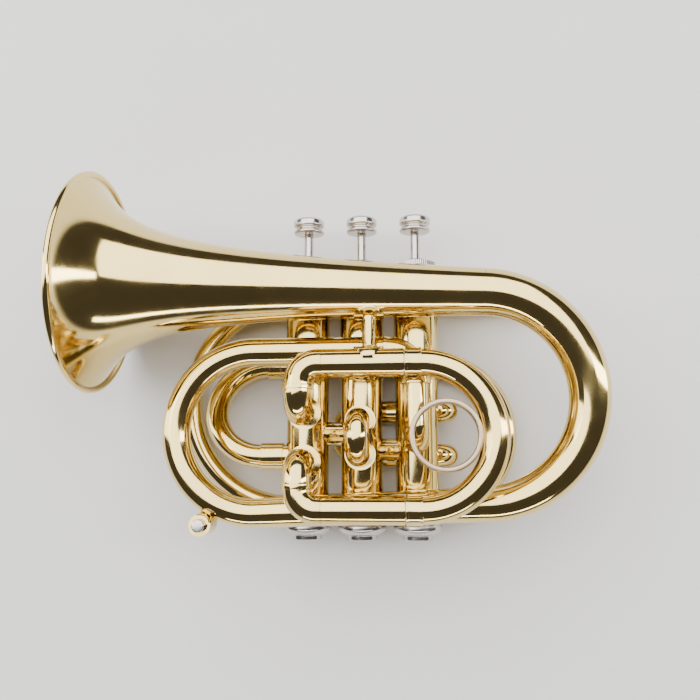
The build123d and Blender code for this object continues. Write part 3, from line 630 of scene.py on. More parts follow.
# ---------------------------------------------------------------- workshop
class Workshop:
    """Makes finished pieces: swept tubes, turned parts, knurled rings and smoothed CAD copies."""

    def __init__(self, finishes: Finishes) -> None:
        """Set up the shop.

        Args:
            finishes: The instrument's materials.
        """
        self.finishes = finishes
        self.tubes = TubeTree()
        self.knurls = KnurlTree()

    def _object(self, name: str, mesh: bpy.types.Mesh, slot: Slot) -> bpy.types.Object:
        """Tidy a mesh and put it in the scene.

        Args:
            name: The piece's name.
            mesh: Its mesh, in metres.
            slot: Its finish.

        Returns:
            The new object, at the origin.
        """
        mesh.name = name
        shaper = bmesh.new()
        shaper.from_mesh(mesh)
        bmesh.ops.remove_doubles(shaper, verts=shaper.verts, dist=2e-6)
        bmesh.ops.recalc_face_normals(shaper, faces=shaper.faces)
        shaper.to_mesh(mesh)
        shaper.free()
        mesh.shade_smooth()
        mesh.set_sharp_from_angle(angle=math.radians(38))
        mesh.materials.clear()
        mesh.materials.append(self.finishes[slot])
        piece = bpy.data.objects.new(name, mesh)
        bpy.context.scene.collection.objects.link(piece)
        return piece

    def seat(
        self, piece: bpy.types.Object, body: Body, slot: Slot, nodes: Iterable[str] = ()
    ) -> bpy.types.Object:
        """Tie a piece to its body and hide the CAD nodes that it stands for.

        Args:
            piece: The finished piece.
            body: The body that carries it.
            slot: Its material slot; not used.
            nodes: The CAD nodes that it replaces.

        Returns:
            The piece.
        """
        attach(piece, body.value)
        if nodes:
            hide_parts(*nodes)
        log.info("%s rides on %s, %d faces", piece.name, body.value, len(piece.data.polygons))
        return piece

    def _evaluate(
        self, name: str, mesh: bpy.types.Mesh, tree: bpy.types.NodeTree, values: Mapping[str, object]
    ) -> bpy.types.Mesh:
        """Run a geometry tree on a host mesh.

        Args:
            name: The host's name.
            mesh: The host mesh.
            tree: The geometry tree.
            values: The tree's inputs by identifier.

        Returns:
            The plain mesh that comes out.
        """
        host = bpy.data.objects.new(name, mesh)
        bpy.context.scene.collection.objects.link(host)
        modifier = host.modifiers.new("shape", "NODES")
        modifier.node_group = tree
        for identifier, value in values.items():
            modifier[identifier] = value
        graph = bpy.context.evaluated_depsgraph_get()
        made = bpy.data.meshes.new_from_object(host.evaluated_get(graph))
        host.modifiers.remove(modifier)
        bpy.data.objects.remove(host)
        return made

    def tube(
        self,
        name: str,
        routes: Sequence[Route],
        slot: Slot,
        seats: Sequence[tuple[Vector, float, Vector]] = (),
        sides: int = 64,
    ) -> bpy.types.Object:
        """Sweep tubes along their centrelines.

        Args:
            name: The piece's name.
            routes: The centrelines.
            slot: The finish.
            seats: Cylinders along Y that the ends are shaped to, as a point on the axis, a radius in
                millimetres and the way out along the tube.
            sides: Faces round each tube.

        Returns:
            The piece.
        """
        points, edges, radii = [], [], []
        for route in routes:
            first = len(points)
            points += route.points
            radii += [r * MM for r in route.radii]
            edges += [(k, k + 1) for k in range(first, len(points) - 1)]
        host = bpy.data.meshes.new(name)
        host.from_pydata(points, edges, [])
        host.attributes.new(TubeTree.RADIUS, "FLOAT", "POINT").data.foreach_set("value", radii)
        values = {self.tubes.sides: sides, self.tubes.finish: self.finishes[slot]}
        mesh = self._evaluate(name, host, self.tubes.tree, values)
        for axis_point, radius, out in seats:
            self._shape_end(mesh, axis_point, radius * MM, out)
        return self._object(name, mesh, slot)

    @staticmethod
    def _shape_end(mesh: bpy.types.Mesh, axis_point: Vector, radius: float, out: Vector) -> None:
        """Move the vertices inside a cylinder out to its surface, along the tube, and open its end there.

        Args:
            mesh: The tube's mesh.
            axis_point: A point on the cylinder's axis, which runs along Y.
            radius: The cylinder's radius, metres.
            out: The tube's direction away from the axis.
        """
        shell = bmesh.new()
        shell.from_mesh(mesh)
        moved = set()
        for vertex in shell.verts:
            arm = vertex.co - axis_point
            arm.y = 0.0
            if arm.length < radius and arm.dot(out) > 0:
                along = arm.dot(out)
                side = arm - out * along
                vertex.co += out * (math.sqrt(radius**2 - side.length_squared) - along)
                moved.add(vertex)
        caps = [face for face in shell.faces if len(face.verts) > 4 and moved.issuperset(face.verts)]
        bmesh.ops.delete(shell, geom=caps, context="FACES_ONLY")
        shell.to_mesh(mesh)
        shell.free()

    def turned(
        self,
        name: str,
        sections: Sequence[tuple[Vector, Vector, Profile, bool]],
        slot: Slot,
        sides: int = 96,
    ) -> bpy.types.Object:
        """Turn sections about their axes.

        Args:
            name: The piece's name.
            sections: Each one's origin, axis, profile in millimetres and whether it is a closed loop.
            slot: The finish.
            sides: Faces round each one.

        Returns:
            The piece.
        """
        points: list[Vector] = []
        faces: list[tuple[int, ...]] = []
        for origin, axis, profile, closed in sections:
            along = axis.normalized()
            across = along.orthogonal().normalized()
            up = along.cross(across)
            first = len(points)
            count = len(profile)
            for k in range(sides):
                angle = 2 * math.pi * k / sides
                spoke = across * math.cos(angle) + up * math.sin(angle)
                points += [origin + along * s * MM + spoke * max(r, 0.0) * MM for s, r in profile]
            spans = range(count if closed else count - 1)
            for k in range(sides):
                here, there = first + k * count, first + (k + 1) % sides * count
                for j in spans:
                    after = (j + 1) % count
                    faces.append((here + j, here + after, there + after, there + j))
        mesh = bpy.data.meshes.new(name)
        mesh.from_pydata(points, [], faces)
        return self._object(name, mesh, slot)

    def rings(
        self,
        name: str,
        places: Sequence[Vector],
        axis: Vector,
        section: Profile,
        body: Body,
        slot: Slot,
        nodes: Iterable[str] = (),
        sides: int = 80,
    ) -> None:
        """Turn one closed section at several places, as one piece.

        Args:
            name: The piece's name.
            places: The origins.
            axis: Their common axis.
            section: The profile, in millimetres.
            body: The body that it rides on.
            slot: The finish.
            nodes: The CAD nodes that it replaces.
            sides: Faces round each one.
        """
        piece = self.turned(name, [(place, axis, section, True) for place in places], slot, sides)
        self.seat(piece, body, slot, nodes)

    def knurl(
        self, name: str, centre: Vector, radius: float, height: float, count: int, slot: Slot
    ) -> bpy.types.Object:
        """Set ridges round an edge whose axis runs along Y.

        Args:
            name: The piece's name.
            centre: The ring's middle, in metres.
            radius: The circle that the ridges stand on, millimetres.
            height: The ridges' height, millimetres.
            count: How many there are.
            slot: The finish.

        Returns:
            The piece.
        """
        values = {
            self.knurls.count: count,
            self.knurls.radius: radius * MM,
            self.knurls.ridge: radius * MM * math.pi / count * 0.72,
            self.knurls.height: height * MM,
            self.knurls.finish: self.finishes[slot],
        }
        mesh = self._evaluate(name, bpy.data.meshes.new(name), self.knurls.tree, values)
        mesh.transform(Matrix.Translation(centre) @ Matrix.Rotation(math.radians(90), 4, "X"))
        return self._object(name, mesh, slot)

    def smoothed(self, node: str, slot: Slot, body: Body) -> bpy.types.Object:
        """Copy a CAD node whose shape is right and smooth its shading.

        Args:
            node: The CAD node.
            slot: The finish.
            body: The body that carries it.

        Returns:
            The piece, seated.
        """
        mesh = frame["nodes"][node].data.copy()
        piece = self._object(f"{node}_fine", mesh, slot)
        return self.seat(piece, body, slot, (node,))


def ring(low: float, high: float, outer: float, inner: float, edge: float = 0.25) -> Profile:
    """Make the section of a sleeve with softened edges.

    Args:
        low: Where it starts along the axis.
        high: Where it ends.
        outer: Its outer radius.
        inner: Its inner radius.
        edge: The rounding.

    Returns:
        The closed section.
    """
    return soften([(low, inner), (low, outer), (high, outer), (high, inner)], edge, True)


def sleeve(low: float, high: float, outer: float, inner: float) -> list[tuple[float, float]]:
    """Section of a ferrule with a raised band at each end.

    Args:
        low: Where it starts along the axis.
        high: Where it ends.
        outer: The radius of its bands.
        inner: Its inner radius.

    Returns:
        The closed section.
    """
    waist = outer - BAND_STEP
    corners = [(low, inner), (low, outer), (low + BAND_L, outer), (low + BAND_L, waist)]
    corners += [(high - BAND_L, waist), (high - BAND_L, outer), (high, outer), (high, inner)]
    return soften(corners, BAND_EDGE, True)


X, Y, Z = Vector((1, 0, 0)), Vector((0, 1, 0)), Vector((0, 0, 1))


# ---------------------------------------------------------------- sub-assemblies
@dataclass
class ValveSection:
    """The three valves: casings, caps, buttons, stems, pistons and springs. Millimetres."""

    shop: Workshop
    datum: Datum
    pitch: float = 24.0
    casing_r: float = 9.29
    bore_r: float = 8.44
    baluster_r: float = 9.79
    casing_bottom: float = -40.5
    casing_top: float = 69.0
    baluster_from: float = 24.0
    cap_base: float = 66.0
    cap_flange_r: float = 10.8
    cap_top: float = 76.2
    neck_r: float = 8.4
    disc_r: float = 9.0
    disc_h: float = 2.6
    felt_h: float = 1.2
    foot: float = -45.2
    foot_r: float = 6.5
    skirt_r: float = 10.6
    stem_r: float = 2.0
    stem_from: float = 30.0
    button_base: float = 90.2
    button_r: float = 6.9
    button_h: float = 7.0
    pearl_r: float = 5.58
    knurl_ridges: int = 60
    knurl_h: float = 1.9
    seat_sink: float = 0.3
    tube_sink: float = 2.4

    @property
    def sunk_r(self) -> float:
        """The distance from a valve's axis at which a tube into its casing starts."""
        return self.casing_r - self.tube_sink

    def x(self, number: int) -> float:
        """Return a valve's place along X."""
        return (2 - number) * self.pitch

    def axis_point(self, number: int) -> Vector:
        """Return the point on a valve's axis at the height of valve 2's ports."""
        return self.datum.at(self.x(number), 0)

    def seat(self, number: int, out: Vector) -> tuple[Vector, float, Vector]:
        """Return the cylinder in a casing's wall that the end of a tube is shaped to.

        Args:
            number: The valve.
            out: The way out along the tube.

        Returns:
            A point on the axis, the radius in millimetres and the way out.
        """
        return self.axis_point(number), self.casing_r - self.seat_sink, out

    def build(self) -> None:
        """Make all three valves."""
        for number, body in ((1, Body.VALVE_1), (2, Body.VALVE_2), (3, Body.VALVE_3)):
            self._casing(number)
            self._caps(number)
            self._moving(number, body)
        self._felts()
        self.shop.smoothed("valve_links", Slot.BRASS, Body.HORN)
        self.shop.smoothed("port_collars", Slot.BRASS, Body.HORN)

    def _casing(self, number: int) -> None:
        """Turn a casing with its baluster.

        Args:
            number: The valve.
        """
        wall = soften(
            [
                (self.casing_bottom, self.bore_r),
                (self.casing_bottom, self.casing_r),
                (self.baluster_from - 0.7, self.casing_r),
                (self.baluster_from, self.baluster_r - 0.05),
                (self.baluster_from + 0.9, self.baluster_r),
                (self.cap_base, self.baluster_r),
                (self.cap_base, self.casing_r),
                (self.casing_top, self.casing_r),
                (self.casing_top, self.bore_r),
            ],
            0.4,
            True,
        )
        piece = self.shop.turned(
            f"casing_{number}", [(self.axis_point(number), Y, wall, True)], Slot.BRASS, 128
        )
        self.shop.seat(piece, Body.HORN, Slot.BRASS, (f"valve_casing_{number}",))

    def _caps(self, number: int) -> None:
        """Turn a valve's top and bottom caps, and knurl the top one.

        Args:
            number: The valve.
        """
        origin = self.axis_point(number)
        dish = soften(
            [
                (self.foot + 1.4, 0.0),
                (self.foot + 1.4, 1.6),
                (self.foot + 0.5, 3.4),
                (self.foot + 0.3, 4.6),
                (self.foot, 5.4),
                (self.foot, self.foot_r),
                (self.foot + 2.0, self.foot_r),
                (self.foot + 2.3, 7.9),
                (self.foot + 3.2, 9.4),
                (self.casing_bottom - 0.6, 10.2),
                (self.casing_bottom, self.skirt_r),
                (self.casing_bottom + 1.5, self.skirt_r),
                (self.casing_bottom + 1.7, self.skirt_r - 0.25),
                (self.casing_bottom + 2.0, self.skirt_r - 0.25),
                (self.casing_bottom + 2.2, self.skirt_r - 0.05),
                (self.casing_bottom + 3.0, self.skirt_r - 0.05),
                (self.casing_bottom + 3.0, self.casing_r),
                (self.casing_bottom, self.casing_r),
                (self.casing_bottom, self.bore_r - 0.6),
                (self.foot + 3.4, 6.5),
                (self.foot + 3.4, 0.0),
            ],
            0.5,
            False,
        )
        bottom = self.shop.turned(f"bottom_cap_{number}_turned", [(origin, Y, dish, False)], Slot.NICKEL, 128)
        self.shop.seat(bottom, Body.HORN, Slot.NICKEL, (f"bottom_cap_{number}",))
        flange, disc = self.cap_flange_r, self.disc_r - 0.25
        crown = soften(
            [
                (self.cap_base, self.baluster_r),
                (self.cap_base, flange),
                (self.cap_base + 3.2, flange),
                (self.cap_base + 4.2, flange - 1.4),
                (self.cap_base + 5.6, self.neck_r),
                (self.cap_top - self.disc_h * 1.2, self.neck_r),
                (self.cap_top - self.disc_h, disc - 0.2),
                (self.cap_top - self.disc_h + 0.3, disc),
                (self.cap_top - 0.3, disc),
                (self.cap_top, disc - 0.5),
                (self.cap_top - 0.1, disc - 1.4),
                (self.cap_top - 0.35, disc - 2.0),
                (self.cap_top - 0.2, self.stem_r + 2.7),
                (self.cap_top, self.stem_r + 2.5),
                (self.cap_top, self.stem_r + 0.15),
                (self.casing_top + self.felt_h, self.stem_r + 0.15),
                (self.casing_top + self.felt_h, self.bore_r - 0.5),
                (self.casing_top, self.bore_r - 0.5),
                (self.casing_top, self.casing_r),
                (self.cap_base, self.casing_r),
            ],
            0.5,
            True,
        )
        top = self.shop.turned(f"top_cap_{number}_turned", [(origin, Y, crown, True)], Slot.NICKEL, 128)
        self.shop.seat(top, Body.HORN, Slot.NICKEL, (f"top_cap_{number}",))
        middle = self.datum.at(self.x(number), self.cap_top - self.disc_h / 2)
        edge = self.shop.knurl(
            f"cap_knurl_{number}", middle, disc - 0.05, self.knurl_h, self.knurl_ridges, Slot.NICKEL
        )
        self.shop.seat(edge, Body.HORN, Slot.NICKEL)

    def _moving(self, number: int, body: Body) -> None:
        """Make the pieces that move with a button.

        Args:
            number: The valve.
            body: Its body.
        """
        origin = self.axis_point(number)
        base, rim = self.button_base, self.button_r
        low, radius = self.stem_from, self.stem_r
        stem = soften([(low, 0.0), (low, radius), (base, radius), (base, 0.0)], 0.2, False)
        piece = self.shop.turned(f"stem_{number}", [(origin, Y, stem, False)], Slot.NICKEL, 64)
        self.shop.seat(piece, body, Slot.NICKEL, (f"valve_stem_{number}",))
        knob = soften(
            [
                (base, 0.0),
                (base, 3.0),
                (base + 0.05, rim - 0.7),
                (base + 0.5, rim),
                (base + 1.4, rim),
                (base + 2.0, rim - 1.0),
                (base + 2.5, rim - 1.25),
                (base + 3.0, rim - 1.0),
                (base + 3.7, rim),
                (base + self.button_h - 1.0, rim),
                (base + self.button_h - 0.15, self.pearl_r + 0.45),
                (base + self.button_h - 0.05, self.pearl_r + 0.02),
                (base + self.button_h - 1.5, self.pearl_r + 0.02),
                (base + self.button_h - 1.5, 0.0),
            ],
            0.45,
            False,
        )
        piece = self.shop.turned(f"button_{number}", [(origin, Y, knob, False)], Slot.NICKEL, 96)
        self.shop.seat(piece, body, Slot.NICKEL, (f"finger_button_{number}",))
        high = base + self.button_h
        dome = [(high - 1.5, 0.0), (high - 1.5, self.pearl_r)]
        dome += [
            (high - 0.75 + 0.75 * math.sin(math.radians(a)), self.pearl_r * math.cos(math.radians(a)) ** 0.6)
            for a in range(0, 86, 5)
        ]
        dome.append((high, 0.0))
        piece = self.shop.turned(f"pearl_{number}", [(origin, Y, dome, False)], Slot.PEARL, 96)
        self.shop.seat(piece, body, Slot.PEARL, (f"button_pearl_{number}",))
        self.shop.smoothed(f"piston_{number}", Slot.MONEL, body)
        spring = frame["nodes"][f"valve_spring_{number}"]
        spring.data.materials.clear()
        spring.data.materials.append(self.shop.finishes[Slot.STEEL])

    def _felts(self) -> None:
        """Turn the felts above and below the top caps."""
        rings = []
        for number in (1, 2, 3):
            for low in (self.cap_top, self.casing_top):
                felt = ring(low, low + self.felt_h, 4.5, self.stem_r + 0.15, 0.4)
                rings.append((self.axis_point(number), Y, felt, True))
        piece = self.shop.turned("felt_rings", rings, Slot.FELT, 64)
        self.shop.seat(piece, Body.HORN, Slot.FELT, ("cap_felts",))


@dataclass
class BellSection:
    """The bell, its rim and bow, and the branch tubing to the first valve. Millimetres."""

    shop: Workshop
    datum: Datum
    valves: ValveSection
    length: float = 167.0
    rim_r: float = 47.5
    bead_r: float = 1.4
    wall: float = 0.6
    flare_s0: float = 12.0
    flare_power: float = 0.58
    bow_r: float = 43.6
    bow_end_r: float = 7.15
    branch_z: float = 16.965
    branch_r: float = 6.0
    branch_x: float = -44.3
    branch_y: float = 0.7
    branch_bow_r: float = 33.9
    knuckle_bend: float = 12.0
    knuckle_r: float = 5.3
    exit_y: float = -3.2
    exit_bend: float = 6.4
    brace_foot: tuple[float, float, float] = (5.0, 27.8, 31.315)
    brace_saddle_r: float = 5.85
    brace_flange: float = 0.9
    brace_r: float = 2.3
    brace_bulge: float = 0.55

    def flare(self, distance: float) -> float:
        """Return the bell's outer radius at a distance from its mouth."""
        return self.rim_r * (1 + distance / self.flare_s0) ** -self.flare_power

    def build(self) -> None:
        """Make the bell section."""
        mount = next(m for m in frame["record"]["mounts"] if m["name"] == "bell_mouth_rim")
        mouth, axis = Vector(mount["pos_m"]), Vector(mount["axis"]).normalized()
        self._bell(mouth, axis)
        self._tubing(mouth - axis * self.length * MM, axis)
        self._brace(mouth, axis)

    def _bell(self, mouth: Vector, axis: Vector) -> None:
        """Turn the flare and its rolled rim.

        Args:
            mouth: The mouth's centre, in metres.
            axis: The way that the bell points.
        """
        throat = mouth - axis * self.length * MM
        sheet_end = self.flare_s0 * ((1 - 1.6 * self.bead_r / self.rim_r) ** (-1 / self.flare_power) - 1)
        steps = [sheet_end + (self.length - sheet_end) * (k / 110) ** 2.2 for k in range(111)]
        outer: Profile = []
        inner: Profile = []
        for distance in reversed(steps):
            slope = self.flare_power * self.flare(distance) / (self.flare_s0 + distance)
            scale = math.hypot(1.0, slope)
            outer.append((self.length - distance, self.flare(distance)))
            inner.append(
                (
                    self.length - distance + self.wall * slope / scale,
                    self.flare(distance) - self.wall / scale,
                )
            )
        skin = outer + list(reversed(inner))
        bell = self.shop.turned("bell_flare", [(throat, axis, skin, True)], Slot.BRASS, 192)
        self.shop.seat(bell, Body.HORN, Slot.BRASS, ("bell",))
        slope = self.flare_power * self.flare(sheet_end) / (self.flare_s0 + sheet_end)
        centre_s = self.length - sheet_end + self.wall / 2 * slope / math.hypot(1.0, slope)
        bead = [
            (
                centre_s + self.bead_r * math.cos(math.radians(a)),
                self.rim_r - self.bead_r + self.bead_r * math.sin(math.radians(a)),
            )
            for a in range(0, 360, 12)
        ]
        rim = self.shop.turned("bell_rim_bead", [(throat, axis, bead, True)], Slot.BRASS, 192)
        self.shop.seat(rim, Body.HORN, Slot.BRASS, ("bell_rim",))

    def _tubing(self, throat: Vector, axis: Vector) -> None:
        """Sweep the bell bow, the branch and the knuckle into valve 1.

        Args:
            throat: Where the bell meets its bow, in metres.
            axis: The way that the bell points.
        """
        lean = math.atan2(axis.z, axis.y)
        tilt = math.acos(-axis.x)
        plane_y = Vector((0, math.cos(lean), math.sin(lean)))
        plane_z = Vector((0, -math.sin(lean), math.cos(lean)))
        centre = throat - (X * math.sin(tilt) + plane_y * math.cos(tilt)) * self.bow_r * MM
        foot = centre - plane_y * self.bow_r * MM
        bow = Route(foot, self.bow_end_r, 1.8).bend(
            centre, plane_z, 180 - math.degrees(tilt), self.flare(self.length)
        )
        piece = self.shop.tube("bell_bow_tube", [bow], Slot.BRASS, sides=96)
        self.shop.seat(piece, Body.HORN, Slot.BRASS, ("bell_bow",))
        low = self.branch_y - self.branch_bow_r
        high = self.branch_y + self.branch_bow_r
        elbow_x = self.valves.x(1) - self.knuckle_bend
        at = self.datum.at
        branch = Route(foot, self.bow_end_r, 2.0)
        branch.line(at(self.branch_x, low, self.branch_z), self.branch_r)
        branch.bend(at(self.branch_x, self.branch_y, self.branch_z), -Z, 180)
        branch.line(at(elbow_x, high, self.branch_z))
        branch.bend(at(elbow_x, high - self.knuckle_bend, self.branch_z), -Z, 90)
        piece = self.shop.tube("branch_tube", [branch], Slot.BRASS, sides=80)
        self.shop.seat(
            piece, Body.HORN, Slot.BRASS, ("bell_branch", "branch_bow", "branch_top", "branch_elbow")
        )
        x = self.valves.x(1)
        knuckle = Route.rounded(
            [
                at(x, high - self.knuckle_bend, self.branch_z),
                at(x, self.exit_y, self.branch_z),
                at(x, self.exit_y, self.valves.sunk_r),
            ],
            self.exit_bend,
            self.knuckle_r,
        )
        seats = [self.valves.seat(1, Z)]
        piece = self.shop.tube("bell_knuckle_tube", [knuckle], Slot.BRASS, seats)
        self.shop.seat(piece, Body.HORN, Slot.BRASS, ("bell_knuckle",))

    def _brace(self, mouth: Vector, axis: Vector) -> None:
        """Dress the braces and give the bell's brace a barrel-shaped sleeve.

        Args:
            mouth: The mouth's centre, in metres.
            axis: The way that the bell points.
        """
        self.shop.smoothed("bell_brace", Slot.BRASS, Body.HORN)
        self.shop.smoothed("rear_braces", Slot.BRASS, Body.HORN)
        low = self.datum.at(*self.brace_foot)
        distance = (mouth.x - low.x) / axis.x
        high = mouth - axis * distance
        run = (high - low).normalized()
        start = self.brace_saddle_r + self.brace_flange
        end = (high - low).length / MM - self.flare(distance / MM) - self.brace_flange
        bulge = [0.0, 0.45, 0.75, 0.92, 1.0, 0.92, 0.75, 0.45, 0.0]
        outer = [
            (start + (end - start) * k / 8, self.brace_r + self.brace_bulge * share)
            for k, share in enumerate(bulge)
        ]
        barrel = soften(
            [(start, self.brace_r - 0.4), (start, self.brace_r + 0.5), (start + 0.4, self.brace_r + 0.5)]
            + outer[1:-1]
            + [(end - 0.4, self.brace_r + 0.5), (end, self.brace_r + 0.5), (end, self.brace_r - 0.4)],
            0.3,
            True,
        )
        piece = self.shop.turned("brace_sleeve", [(low, run, barrel, True)], Slot.BRASS, 64)
        self.shop.seat(piece, Body.HORN, Slot.BRASS)


@dataclass
class ThirdSlide:
    """The third valve's slide with its finger ring. Millimetres."""

    shop: Workshop
    datum: Datum
    valves: ValveSection
    z: float = 31.315
    ports: tuple[float, float] = (8.9, -12.1)
    legs: tuple[float, float] = (27.8, -30.7)
    tube_r: float = 5.85
    leg_r: float = 5.3
    bow_tube_r: float = 5.6
    bow_x: float = 26.3
    knuckle_bend: float = 8.2
    seam_x: float = -13.9
    outer_end: float = 19.4
    seam: float = 0.06
    ferrule_r: float = 6.225
    ferrule_l: float = 6.5
    leg_l: float = 34.0
    ring_x: float = 35.85
    ring_r: float = 14.7
    ring_wall: float = 2.2
    ring_l: float = 5.2
    ring_edge: float = 0.7

    def build(self) -> None:
        """Make the fixed tubes, the slide and its ring."""
        at, x = self.datum.at, self.valves.x(3)
        runs = []
        for leg, port in zip(self.legs, self.ports):
            corners = [
                at(x, port, self.valves.sunk_r),
                at(x, port, self.z),
                at(x, leg, self.z),
                at(self.seam_x, leg, self.z),
            ]
            runs.append(Route.rounded(corners, self.knuckle_bend, self.tube_r))
        seats = [self.valves.seat(3, Z)]
        piece = self.shop.tube("third_knuckle_tubes", runs, Slot.BRASS, seats)
        self.shop.seat(piece, Body.HORN, Slot.BRASS, ("third_knuckles",))
        places = [at(0, leg, self.z) for leg in self.legs]
        outer = ring(self.seam_x + self.seam, self.outer_end, self.tube_r, self.leg_r + SLIDE_FIT)
        self.shop.rings("third_outer", places, X, outer, Body.HORN, Slot.BRASS, ("third_outer_tubes",))
        inner = ring(self.bow_x - self.leg_l, self.bow_x, self.leg_r, self.leg_r - TUBE_WALL)
        nodes = ("third_inner_legs",)
        self.shop.rings("third_legs", places, X, inner, Body.THIRD, Slot.NICKEL_SILVER, nodes)
        middle = at(self.bow_x, sum(self.legs) / 2, self.z)
        bow = Route(at(self.bow_x, self.legs[1], self.z), self.bow_tube_r, 2.0).bend(middle, Z, 180)
        piece = self.shop.tube("third_bow_tube", [bow], Slot.BRASS, sides=80)
        self.shop.seat(piece, Body.THIRD, Slot.BRASS, ("third_bow",))
        ferrule = sleeve(self.bow_x - self.ferrule_l, self.bow_x, self.ferrule_r, self.leg_r)
        self.shop.rings("third_bow_ferrules", places, X, ferrule, Body.THIRD, Slot.BRASS)
        half = self.ring_l / 2
        band = ring(-half, half, self.ring_r, self.ring_r - self.ring_wall, self.ring_edge)
        origin = at(self.ring_x, sum(self.legs) / 2, self.z)
        nodes = ("finger_ring",)
        self.shop.rings(
            "finger_ring_turned", [origin], Z, band, Body.THIRD, Slot.NICKEL_SILVER, nodes, 128
        )


@dataclass
class SecondSlide:
    """The second valve's short slide, which faces up from the table. Millimetres."""

    shop: Workshop
    datum: Datum
    valves: ValveSection
    ports: tuple[float, float] = (5.5, -8.9)
    tube_r: float = 5.25
    leg_r: float = 4.7
    bow_tube_r: float = 4.95
    bow_z: float = 22.0
    outer_end: float = 17.6
    leg_l: float = 12.0
    ferrule_l: float = 4.0
    ferrule_wall: float = 0.6

    def build(self) -> None:
        """Make the stubs and the slide."""
        at = self.datum.at
        stubs = [
            Route(at(0, port, self.valves.sunk_r), self.tube_r).line(at(0, port, self.outer_end))
            for port in self.ports
        ]
        seats = [self.valves.seat(2, Z)]
        piece = self.shop.tube("second_stubs", stubs, Slot.BRASS, seats)
        self.shop.seat(piece, Body.HORN, Slot.BRASS, ("second_outer_tubes",))
        places = [at(0, port, 0) for port in self.ports]
        inner = ring(self.bow_z - self.leg_l, self.bow_z, self.leg_r, self.leg_r - TUBE_WALL)
        nodes = ("second_inner_legs",)
        self.shop.rings("second_legs", places, Z, inner, Body.SECOND, Slot.NICKEL_SILVER, nodes, 64)
        bow = Route(at(0, self.ports[1], self.bow_z), self.bow_tube_r, 3.0)
        bow.bend(at(0, sum(self.ports) / 2, self.bow_z), -X, 180)
        piece = self.shop.tube("second_bow_tube", [bow], Slot.BRASS)
        self.shop.seat(piece, Body.SECOND, Slot.BRASS, ("second_bow",))
        ferrule = sleeve(self.bow_z - self.ferrule_l, self.bow_z, self.leg_r + self.ferrule_wall, self.leg_r)
        self.shop.rings(
            "second_bow_ferrules", places, Z, ferrule, Body.SECOND, Slot.BRASS, sides=64
        )


@dataclass
class FirstSlide:
    """The first valve's slide, behind the casings. Millimetres."""

    shop: Workshop
    datum: Datum
    valves: ValveSection
    ports: tuple[float, float] = (10.1, -9.3)
    port_z: float = -3.6
    z: float = -15.14
    elbow_r: float = 4.95
    tube_r: float = 5.25
    leg_r: float = 4.7
    bow_x: float = -1.2
    seam_x: float = 27.0
    outer_end: float = 3.2
    leg_l: float = 25.0
    ferrule_l: float = 4.0
    ferrule_wall: float = 0.6

    def build(self) -> None:
        """Make the elbows, the outer tubes and the slide."""
        at, x = self.datum.at, self.valves.x(1)
        elbow_x = x + math.sqrt(self.valves.casing_r**2 - self.port_z**2) - 1
        elbows = []
        for port in self.ports:
            route = Route(at(x + 3, port, self.port_z), self.elbow_r, 4.0)
            route.line(at(elbow_x, port, self.port_z))
            route.bend(at(elbow_x, port, (self.port_z + self.z) / 2), Y, 180)
            elbows.append(route.line(at(self.seam_x, port, self.z)))
        seats = [self.valves.seat(1, X)]
        piece = self.shop.tube("first_elbow_tubes", elbows, Slot.BRASS, seats)
        self.shop.seat(piece, Body.HORN, Slot.BRASS, ("first_elbows",))
        places = [at(0, port, self.z) for port in self.ports]
        outer = ring(self.outer_end, self.seam_x, self.tube_r, self.leg_r + SLIDE_FIT)
        self.shop.rings("first_outer", places, X, outer, Body.HORN, Slot.BRASS, ("first_outer_tubes",), 64)
        inner = ring(self.bow_x, self.bow_x + self.leg_l, self.leg_r, self.leg_r - TUBE_WALL)
        nodes = ("first_inner_legs",)
        self.shop.rings("first_legs", places, X, inner, Body.FIRST, Slot.NICKEL_SILVER, nodes, 64)
        bow = Route(at(self.bow_x, self.ports[0], self.z), self.elbow_r, 3.0)
        bow.bend(at(self.bow_x, sum(self.ports) / 2, self.z), Z, 180)
        piece = self.shop.tube("first_bow_tube", [bow], Slot.BRASS)
        self.shop.seat(piece, Body.FIRST, Slot.BRASS, ("first_bow",))
        ferrule = sleeve(self.bow_x, self.bow_x + self.ferrule_l, self.leg_r + self.ferrule_wall, self.leg_r)
        self.shop.rings("first_bow_ferrules", places, X, ferrule, Body.FIRST, Slot.BRASS, sides=64)


